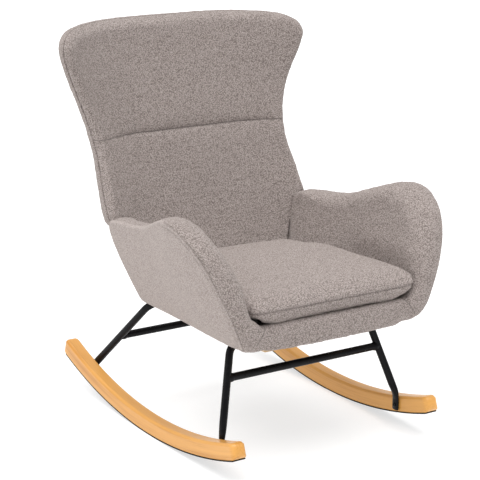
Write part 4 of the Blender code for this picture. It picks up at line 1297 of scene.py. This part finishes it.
def filled_with_foam(obj):
    """Swells a skin with Blender's cloth, moving no point further than the cap."""
    before = points_of(obj)
    step = obj.modifiers.new("fill", "CLOTH")
    cloth = step.settings
    cloth.use_pressure = True
    cloth.uniform_pressure_force = FOAM_PRESSURE
    cloth.tension_stiffness = 25.0
    cloth.compression_stiffness = 25.0
    cloth.shear_stiffness = 12.0
    cloth.bending_stiffness = 0.8
    cloth.effector_weights.gravity = 0.0
    step.point_cache.frame_start = 1
    step.point_cache.frame_end = FOAM_FRAMES
    scene = bpy.context.scene
    for number in range(1, FOAM_FRAMES + 1):
        scene.frame_set(number)
    evaluated_mesh(obj)
    moved = points_of(obj) - before
    reach = np.linalg.norm(moved, axis=1)
    share = np.minimum(1.0, FOAM_CAP / np.maximum(reach, 1e-9))
    set_points(obj, before + moved * share[:, None])
    scene.frame_set(1)


def subdivided(obj):
    """One level of subdivision, taken into the mesh."""
    step = obj.modifiers.new("fine", "SUBSURF")
    step.levels = 1
    step.render_levels = 1
    evaluated_mesh(obj)
    obj.data.shade_smooth()


def make_cushion(sizes):
    """The loose cushion: filled, with a sunken seam between two rolls of cloth."""
    cushion = cushion_blank(finish("cushion_cloth"))
    fused(cushion, sizes.cushion_grid)
    relaxed(cushion, 4)
    filled_with_foam(cushion)
    relaxed(cushion, 3)
    subdivided(cushion)
    points = points_of(cushion)
    normals = normals_of(cushion)
    upright = np.clip(1.3 - np.abs(normals[:, 2]), 0.0, 1.0)
    away = points[:, 2] - CUSHION_SEAM
    rise = 0.0014 * bell(away - 0.0062, 0.0040) - 0.0028 * bell(away, 0.0026)
    rise = rise + 0.0010 * bell(away + 0.0060, 0.0040)
    set_points(cushion, points + normals * (rise * upright)[:, None])
    with_pile(cushion, sizes.pile)
    points = points_of(cushion)
    points[:, 2] = np.maximum(points[:, 2], CUSHION_LOW)
    set_points(cushion, points)
    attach(cushion, CUSHION)
    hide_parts("seat_cushion")


def make_deck(sizes):
    """The cloth-covered deck under the cushion."""
    cloth = finish("boucle")
    loop = smooth_loop([
        (-1.0, APRON_REAR + 0.001), (0.0, APRON_REAR + 0.001), (1.0, APRON_REAR + 0.001),
        (1.0, -0.2), (1.0, -0.05), (1.0, DECK_REAR - 0.001),
        (0.0, DECK_REAR - 0.001), (-1.0, DECK_REAR - 0.001), (-1.0, -0.05), (-1.0, -0.2),
    ], 160)
    loop[:, 0] = np.clip(loop[:, 0], -1.0, 1.0)
    loop[:, 1] = np.clip(loop[:, 1], APRON_REAR + 0.0005, DECK_REAR)
    border = [
        (0.016, DECK_TOP), (0.008, DECK_TOP - 0.001), (0.003, DECK_TOP - 0.004),
        (0.0, DECK_TOP - 0.009), (0.0, DECK_LOW + 0.003), (0.004, DECK_LOW),
    ]

    def place(flat, height):
        share, y = flat.T
        return np.stack([share * (inside_x(y, height) - 0.003), y, height], axis=1)

    deck = pad_piece("deck_cover", loop, (0.0, -0.130), border, place, COARSE_GRID, (0.0, 0.0), cloth)
    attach(deck, CHAIR)
    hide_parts("seat_deck")


# Rockers and their strips.

class GeometryTree(Nodes):
    """A Geometry Nodes tree with named inputs, used once on one object."""

    def __init__(self, name):
        tree = bpy.data.node_groups.new(name, "GeometryNodeTree")
        super().__init__(tree)
        self.values = {}
        tree.interface.new_socket("Geometry", in_out="OUTPUT", socket_type="NodeSocketGeometry")
        self.shape = self.number("Geometry", "NodeSocketGeometry", None)

    def number(self, name, kind, value):
        """A named input of the tree."""
        item = self.tree.interface.new_socket(name, in_out="INPUT", socket_type=kind)
        if value is not None:
            self.values[item.identifier] = value
        entry = self.tree.nodes.get("Group Input") or self.tree.nodes.new("NodeGroupInput")
        return Value(self, entry.outputs[name])

    def size(self, name, value):
        return self.number(name, "NodeSocketFloat", value)

    def count(self, name, value):
        return self.number(name, "NodeSocketInt", value)

    def made_by(self, result, material):
        """Ends the tree with real geometry in one material."""
        real = self.add("GeometryNodeRealizeInstances", {}, {0: result})
        dressed = self.add("GeometryNodeSetMaterial", {}, {"Geometry": real, "Material": material})
        leave = self.tree.nodes.new("NodeGroupOutput")
        self.tree.links.new(dressed.socket, leave.inputs[0])

    def run(self, name, source):
        """A plain mesh object made by the tree from a source mesh."""
        holder = new_object(name, source)
        step = holder.modifiers.new("make", "NODES")
        step.node_group = self.tree
        for key, value in self.values.items():
            step[key] = value
        evaluated_mesh(holder)
        return holder


def rocker_section(height, thickness, chamfer):
    """The section's outline: chamfered upper edges and eased lower ones. Y points down."""
    half = thickness / 2.0
    up = -height / 2.0
    down = height / 2.0
    ease = min(0.0018, height / 3.0)
    turn = chamfer * 0.12
    right = [
        (half - chamfer - turn, up), (half - chamfer + turn, up + turn),
        (half - turn, up + chamfer - turn), (half, up + chamfer + turn), (half, down - ease),
        (half - ease, down),
    ]
    points = right + [(-x, y) for x, y in reversed(right)]
    mesh = bpy.data.meshes.new("section")
    edges = [(i, (i + 1) % len(points)) for i in range(len(points))]
    mesh.from_pydata([(x, y, 0.0) for x, y in points], edges, [])
    return mesh


def rocker_tree(middle, front, rear, nose_length, material):
    """An arc swept with a section, which narrows over its rounded ends."""
    g = GeometryTree("rocker")
    radius = g.size("Arc radius", ROCKER_RADIUS - middle)
    arc = g.add("GeometryNodeCurveArc", {"mode": "RADIUS"}, {
        "Resolution": g.count("Points along", 440), "Radius": radius,
        "Start Angle": g.size("Start angle", -math.pi / 2.0 - front / ROCKER_RADIUS),
        "Sweep Angle": g.size("Sweep angle", (front + rear) / ROCKER_RADIUS),
        "Connect Center": False,
    })
    upright = g.add("GeometryNodeTransform", {}, {
        0: arc, "Rotation": (math.pi / 2.0, 0.0, math.pi / 2.0),
    })
    along = g.add("GeometryNodeSplineParameter", out="Length")
    whole = g.add("GeometryNodeSplineLength", out="Length")
    nose = g.size("Nose length", nose_length)
    near = (along.below(whole - along) / nose).below(1.0)
    gone = 1.0 - near
    round_end = ((1.0 - gone * gone) ** 0.5) * 0.60 + 0.40
    shaped = g.add("GeometryNodeSetCurveRadius", {}, {"Curve": upright, "Radius": round_end})
    section = g.add("GeometryNodeMeshToCurve", {}, {0: g.shape})
    body = g.add("GeometryNodeCurveToMesh", {}, {
        "Curve": shaped, "Profile Curve": section, "Fill Caps": True, "Scale": round_end,
    })
    g.made_by(body, material)
    return g


def make_rockers(sizes):
    """The two rocker boards, and the strip under each."""
    wood = finish("honey_wood")
    felt = finish("strip_felt")
    low = STRIP_THICKNESS + GAP
    board = rocker_tree(
        low + ROCKER_HEIGHT / 2.0, ROCKER_FRONT_LENGTH, ROCKER_REAR_LENGTH, sizes.rocker_nose, wood
    )
    board_section = (ROCKER_HEIGHT, ROCKER_THICKNESS, sizes.rocker_chamfer)
    strip = rocker_tree(STRIP_THICKNESS / 2.0, STRIP_FRONT_LENGTH, STRIP_REAR_LENGTH, 0.0005, felt)
    strip_section = (STRIP_THICKNESS, ROCKER_THICKNESS - 0.0008, 0.0006)
    kinds = (
        ("rocker", "rocker_body", board, board_section, "rocker_wood"),
        ("grip_strip", "rocker_strip", strip, strip_section, "grip_strip"),
    )
    for node, name, tree, section, slot in kinds:
        for side, label in SIDES:
            piece = tree.run(f"{name}_{label}", rocker_section(*section))
            points = points_of(piece) + np.array([side * ROCKER_X, ROCKER_CONTACT_Y, ARC_CENTRE_Z])
            if tree is strip:
                points[:, 2] = np.maximum(points[:, 2], 0.0)
            set_points(piece, points)
            tidy_shell(piece.data, 24.0)
            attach(piece, CHAIR)
            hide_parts(f"{node}_{label}")


# Tube frames.

def leg_point(leg, height):
    """A point on the middle line of a leg, on the sitter's left."""
    rise = height - FOOT_BEND_Z
    return Vector((LEG_BEND_X - leg["splay"] * rise, leg["y"] + leg["rake"] * rise, height))


def round_bend(before, corner, after, radius, steps):
    """Points round a corner on an arc that meets both of its straight lines."""
    one = (before - corner).normalized()
    two = (after - corner).normalized()
    half = one.angle(two) / 2.0
    tangent = radius / math.tan(half)
    centre = corner + (one + two).normalized() * (radius / math.sin(half))
    start = corner + one * tangent - centre
    end = corner + two * tangent - centre
    turn = start.angle(end)
    points = []
    for i in range(steps + 1):
        share = i / steps
        point = start * math.sin((1.0 - share) * turn) + end * math.sin(share * turn)
        points.append(centre + point / math.sin(turn))
    return points


def leg_path(leg):
    """One side of a leg frame from its foot to the middle of its top tube, with half sizes."""
    drop = FOOT_BEND_Z - leg["end"]
    foot = Vector((FOOT_X, leg["y"] - leg["lean"] * drop, leg["end"]))
    flat_top = foot.lerp(Vector((FOOT_X, leg["y"], FOOT_BEND_Z)), 0.62)
    flat = (FOOT_THICKNESS / 2.0, FOOT_WIDTH / 2.0)
    squeezed = (TUBE_RADIUS * 0.80, TUBE_RADIUS * 1.12)
    full = (TUBE_RADIUS, TUBE_RADIUS)
    upper = leg_point(leg, FOOT_BEND_Z + 0.050)
    knots = (
        (foot.lerp(flat_top, 0.75), flat), (flat_top, flat),
        (Vector((LEG_BEND_X, leg["y"], FOOT_BEND_Z)), squeezed),
        (leg_point(leg, FOOT_BEND_Z + 0.022), full), (upper, full),
    )
    lower = curve_through([place for place, _ in knots], 8)
    at = np.linspace(0.0, 1.0, len(knots))
    shares = np.linspace(0.0, 1.0, len(lower))
    wide, deep = [np.interp(shares, at, [size[k] for _, size in knots]) for k in range(2)]
    path = [foot, foot.lerp(flat_top, 0.04)] + lower
    sizes = [(flat[0] * 0.8, flat[1] * 0.86), flat] + list(zip(wide, deep))
    top = leg_point(leg, TUBE_TOP_Z)
    bend = round_bend(upper, top, Vector((0.0, top.y, top.z)), TUBE_BEND, 12)
    return path + bend, sizes + [full] * len(bend)


def curve_through(points, steps):
    """A smooth open curve through points in space."""
    out = []
    last = len(points) - 1
    for i in range(last):
        p = [points[min(max(i + k - 1, 0), last)] for k in range(4)]
        for j in range(steps):
            point = Vector()
            for weight, q in zip(curve_weights(j / steps), p):
                point += q * weight
            out.append(point)
    out.append(points[-1].copy())
    return out


def make_leg_frames(sizes):
    """Both bent tubes with their flattened feet, and their crossbars."""
    coat = finish("tube_coat")
    for label, leg in LEG_FRAMES.items():
        path, sections = leg_path(leg)
        other = [Vector((-p.x, p.y, p.z)) for p in reversed(path)]
        piece = swept_piece(f"{label}_legs", path + other, sections + sections[::-1], coat)
        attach(piece, CHAIR)
        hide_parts(f"{label}_leg_frame")
        make_crossbar(label, leg, coat)


def make_crossbar(label, leg, coat):
    """The welded crossbar, with a bead of weld at each end."""
    end = leg_point(leg, leg["bar"])
    half = [(end.x, CROSSBAR_RADIUS)]
    for i, angle in enumerate(quarter(8)):
        away = TUBE_RADIUS * 0.9 + WELD_LENGTH * i / 8.0
        half.append((end.x - away, CROSSBAR_RADIUS + WELD_FLARE * math.cos(angle) ** 2))
    steps = [(-along, radius) for along, radius in half] + half[::-1]
    bar = turned_piece(f"{label}_bar", steps, (0.0, end.y, end.z), (1.0, 0.0, 0.0), coat)
    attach(bar, CHAIR)
    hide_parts(f"{label}_crossbar")


# Screws.

def socket_screw(name, start, axis, steel):
    """A screw with a low round head, a hexagon socket and a plain shank."""
    axis = Vector(axis)
    sides = 24
    across = axis.orthogonal().normalized()
    around = spokes(sides, across, axis.cross(across))
    points = []
    for along, radius, hexagon in SCREW_RINGS:
        for i, spoke in enumerate(around):
            reach = radius
            if hexagon:
                sixth = (2.0 * math.pi * i / sides + math.pi / 6.0) % (math.pi / 3.0) - math.pi / 6.0
                reach = radius * math.cos(math.pi / 6.0) / math.cos(sixth)
            points.append(Vector(start) + axis * along + spoke * reach)
    return mesh_piece(name, points, tube_faces(sides, len(SCREW_RINGS)), steel, angle=35.0)


def make_screws(sizes):
    """The screw through each foot into its rocker."""
    steel = finish("screw_steel")
    for label, leg in LEG_FRAMES.items():
        y = leg["y"] - leg["lean"] * (FOOT_BEND_Z - leg["screw"])
        for side, side_label in SIDES:
            node = f"{label}_foot_screw_{side_label}"
            start = (side * (FOOT_X - FOOT_THICKNESS / 2.0 - GAP), y, leg["screw"])
            screw = socket_screw(f"{label}_foot_bolt_{side_label}", start, (side, 0.0, 0.0), steel)
            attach(screw, CHAIR)
            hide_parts(node)


# Stitches.

def stitch_tree(sizes, material):
    """Short threads set end to end along a line."""
    g = GeometryTree("stitches")
    pitch = g.size("Pitch", sizes.stitch_pitch)
    long = g.size("Stitch length", sizes.stitch_length)
    thick = g.size("Thread thickness", sizes.thread)
    line = g.add("GeometryNodeMeshToCurve", {}, {0: g.shape})
    spaced = g.add("GeometryNodeResampleCurve", {"mode": "LENGTH"}, {"Curve": line, "Length": pitch})
    tangent = g.add("GeometryNodeInputTangent")
    turned = g.add("FunctionNodeAlignRotationToVector", {"axis": "Z"}, {"Vector": tangent})
    thread = g.add("GeometryNodeMeshUVSphere", {}, {"Segments": 6, "Rings": 5, "Radius": 0.5})
    scale = g.add("ShaderNodeCombineXYZ", {}, {0: thick, 1: thick, 2: long})
    rounded = g.add("GeometryNodeSetShadeSmooth", {}, {0: thread})
    sewn = g.add("GeometryNodeInstanceOnPoints", {}, {
        "Points": spaced, "Instance": rounded, "Rotation": turned, "Scale": scale,
    })
    g.made_by(sewn, material)
    return g


def line_mesh(points):
    """An open line of edges."""
    mesh = bpy.data.meshes.new("line")
    edges = [(i, i + 1) for i in range(len(points) - 1)]
    mesh.from_pydata([tuple(p) for p in points], edges, [])
    return mesh


def make_stitches(sizes):
    """A row of stitches along each edge of the panels' sewn band."""
    tree = stitch_tree(sizes, finish("thread"))
    loop = panel_loop()
    for side, label in SIDES:
        for row, distance in (("inner", sizes.band_width + 0.0008), ("outer", 0.0)):
            flat = inset(loop, ARM_CENTRE, distance)
            y, z = flat.T
            out = 0.0008 if distance > 0 else 0.0004
            line = np.stack([side * (wall_x(y, z) + ARM_HALF + out), y, z], axis=1)
            line = np.roll(line, -30, axis=0)[np.roll(seam_share(y, z), -30) > 0.5]
            piece = tree.run(f"arm_stitches_{row}_{label}", line_mesh(line))
            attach(piece, CHAIR)


# CAD nodes that stay, with their real finishes.

NODE_FINISHES = {
    "arm_ply": "frame_ply", "back_bolt": "screw_steel", "back_bottom_rail": "frame_timber",
    "back_middle_rail": "frame_timber", "back_top_rail": "frame_timber",
    "back_stile": "frame_timber", "back_strap": "elastic_web", "seat_strap": "elastic_web",
    "front_rail": "frame_timber", "rear_rail": "frame_timber", "side_rail": "frame_timber",
    "front_plate_screw": "screw_steel", "rear_plate_screw": "screw_steel",
    "front_plate": "tube_coat", "rear_plate": "tube_coat", "front_foot_screw": "screw_steel",
    "rear_foot_screw": "screw_steel", "dust_cover": "dust_cloth",
}


def dress_frame():
    """Gives the inner frame its finishes."""
    for name, node in frame["nodes"].items():
        for start, material in NODE_FINISHES.items():
            if name.startswith(start):
                for slot in node.material_slots:
                    slot.material = finish(material)
                break


def make_dust_cover(sizes):
    """The thin cloth stretched under the seat."""
    low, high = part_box("dust_cover")
    cloth = finish("dust_cloth")
    xs = np.linspace(low[0], high[0], 61)
    ys = np.linspace(low[1], high[1], 81)
    points = []
    for z in (low[2], high[2]):
        for y in ys:
            for x in xs:
                inward = min(x - low[0], high[0] - x, y - low[1], high[1] - y)
                dip = DUST_COVER_SAG * (1.0 - math.exp(-inward / 0.030))
                ripple = DUST_COVER_RIPPLE * noise.noise(Vector((x * 22.0, y * 22.0, 0.0)))
                points.append((x, y, z - dip - ripple * min(inward / 0.02, 1.0)))
    wide = len(xs)
    layer = wide * len(ys)
    faces = []
    for j in range(len(ys) - 1):
        for i in range(wide - 1):
            a = j * wide + i
            faces.append([a, a + 1, a + 1 + wide, a + wide])
            faces.append([layer + a, layer + a + wide, layer + a + 1 + wide, layer + a + 1])
    rim = list(range(wide))
    rim += [j * wide + wide - 1 for j in range(1, len(ys))]
    rim += [(len(ys) - 1) * wide + i for i in range(wide - 2, -1, -1)]
    rim += [j * wide for j in range(len(ys) - 2, 0, -1)]
    for a, b in zip(rim, rim[1:] + rim[:1]):
        faces.append([a, b, layer + b, layer + a])
    sheet = mesh_piece("dust_cloth_sheet", points, faces, cloth)
    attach(sheet, CHAIR)
    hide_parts("dust_cover")


# Stage.

def add_light(name, kind, energy, aim, place=(0.0, 0.0, 0.0)):
    """A light that shines along aim."""
    light = bpy.data.lights.new(name, kind)
    light.energy = energy
    obj = new_object(name, light)
    obj.location = place
    obj.rotation_euler = aim.to_track_quat("-Z", "Y").to_euler()
    return light


def make_stage(sizes):
    """Floor, lights and camera."""
    scene = bpy.context.scene
    scene.view_settings.view_transform = "Standard"
    world = scene.world or bpy.data.worlds.new("studio")
    scene.world = world
    world.use_nodes = True
    sky = world.node_tree.nodes["Background"].inputs
    sky["Color"].default_value = (1.0, 1.0, 1.0, 1.0)
    sky["Strength"].default_value = SKY_STRENGTH
    r = FLOOR_REACH
    floor = mesh_piece("floor", [(-r, -r, 0), (r, -r, 0), (r, r, 0), (-r, r, 0)], [(0, 1, 2, 3)],
                       finish("floor"))
    sun = add_light("wide_sun", "SUN", SUN_ENERGY, Vector(SUN_AIM))
    sun.angle = SUN_ANGLE
    place = Vector(SIDE_LIGHT_PLACE)
    side = add_light("side_light", "AREA", SIDE_LIGHT_POWER, Vector(SIDE_LIGHT_TARGET) - place, place)
    side.shape = "RECTANGLE"
    side.size, side.size_y = SIDE_LIGHT_SIZE
    camera = bpy.data.cameras.new("photo_view")
    camera.lens = CAMERA_LENS
    camera.sensor_width = CAMERA_SENSOR
    camera.clip_end = CAMERA_REACH
    view = new_object("photo_view", camera)
    a = math.radians(CAMERA_AZIMUTH)
    e = math.radians(CAMERA_ELEVATION)
    back = Vector((math.sin(a) * math.cos(e), -math.cos(a) * math.cos(e), math.sin(e)))
    right = Vector((math.cos(a), math.sin(a), 0.0))
    up = back.cross(right)
    turn = Matrix((right, up, back)).transposed().to_4x4()
    view.matrix_world = Matrix.Translation(CAMERA_PLACE) @ turn
    scene.camera = view


# Operators and panel.

def operator(identifier, label, words, work):
    """An operator that runs one maker with the chair's sizes."""
    def execute(self, context):
        work(context.scene.chair_sizes)
        return {"FINISHED"}

    name = "CHAIR_OT_" + identifier
    body = {
        "__doc__": words, "bl_idname": "chair." + identifier, "bl_label": label,
        "bl_options": {"REGISTER", "UNDO"}, "execute": execute,
    }
    return type(name, (bpy.types.Operator,), body)


OPERATORS = (
    operator("stage", "Stage", "Floor, lights and camera", make_stage),
    operator("tub", "Tub", "Arm walls and apron in looped cloth", make_tub),
    operator("panels", "Side panels", "Smooth outer panels with their sewn band", make_panels),
    operator("back", "Wing back", "Front pad and outer cover of the back", make_back),
    operator("creases", "Creases", "Valleys where the back meets the arms", make_creases),
    operator("cushion", "Seat cushion", "Loose filled cushion", make_cushion),
    operator("deck", "Seat deck", "Cloth-covered deck under the cushion", make_deck),
    operator("rockers", "Rockers", "Wooden rockers and their felt strips", make_rockers),
    operator("legs", "Leg frames", "Bent tubes and welded crossbars", make_leg_frames),
    operator("screws", "Screws", "Socket screws at the feet", make_screws),
    operator("stitches", "Stitches", "Stitching round the side panels", make_stitches),
    operator("dust_cover", "Dust cover", "Thin cloth under the seat", make_dust_cover),
)


class CHAIR_PT_sidebar(bpy.types.Panel):
    """Lists the chair's sizes, colours and makers."""

    bl_idname = "CHAIR_PT_sidebar"
    bl_label = "Wingback rocking chair"
    bl_space_type = "VIEW_3D"
    bl_region_type = "UI"
    bl_category = "Chair"

    def draw(self, context):
        column = self.layout.column()
        for group in (context.scene.chair_sizes, context.scene.chair_colours):
            for name in group.__annotations__:
                column.prop(group, name)
        for made in OPERATORS:
            column.operator(made.bl_idname)


CLASSES = (ChairSizes, ChairColours, *OPERATORS, CHAIR_PT_sidebar)


def register():
    for each in CLASSES:
        bpy.utils.register_class(each)
    bpy.types.Scene.chair_sizes = bpy.props.PointerProperty(type=ChairSizes)
    bpy.types.Scene.chair_colours = bpy.props.PointerProperty(type=ChairColours)


def unregister():
    del bpy.types.Scene.chair_colours
    del bpy.types.Scene.chair_sizes
    for each in reversed(CLASSES):
        bpy.utils.unregister_class(each)


def main():
    register()
    for made in OPERATORS:
        group, name = made.bl_idname.split(".")
        getattr(getattr(bpy.ops, group), name)()
    dress_frame()


if __name__ == "__main__":
    main()
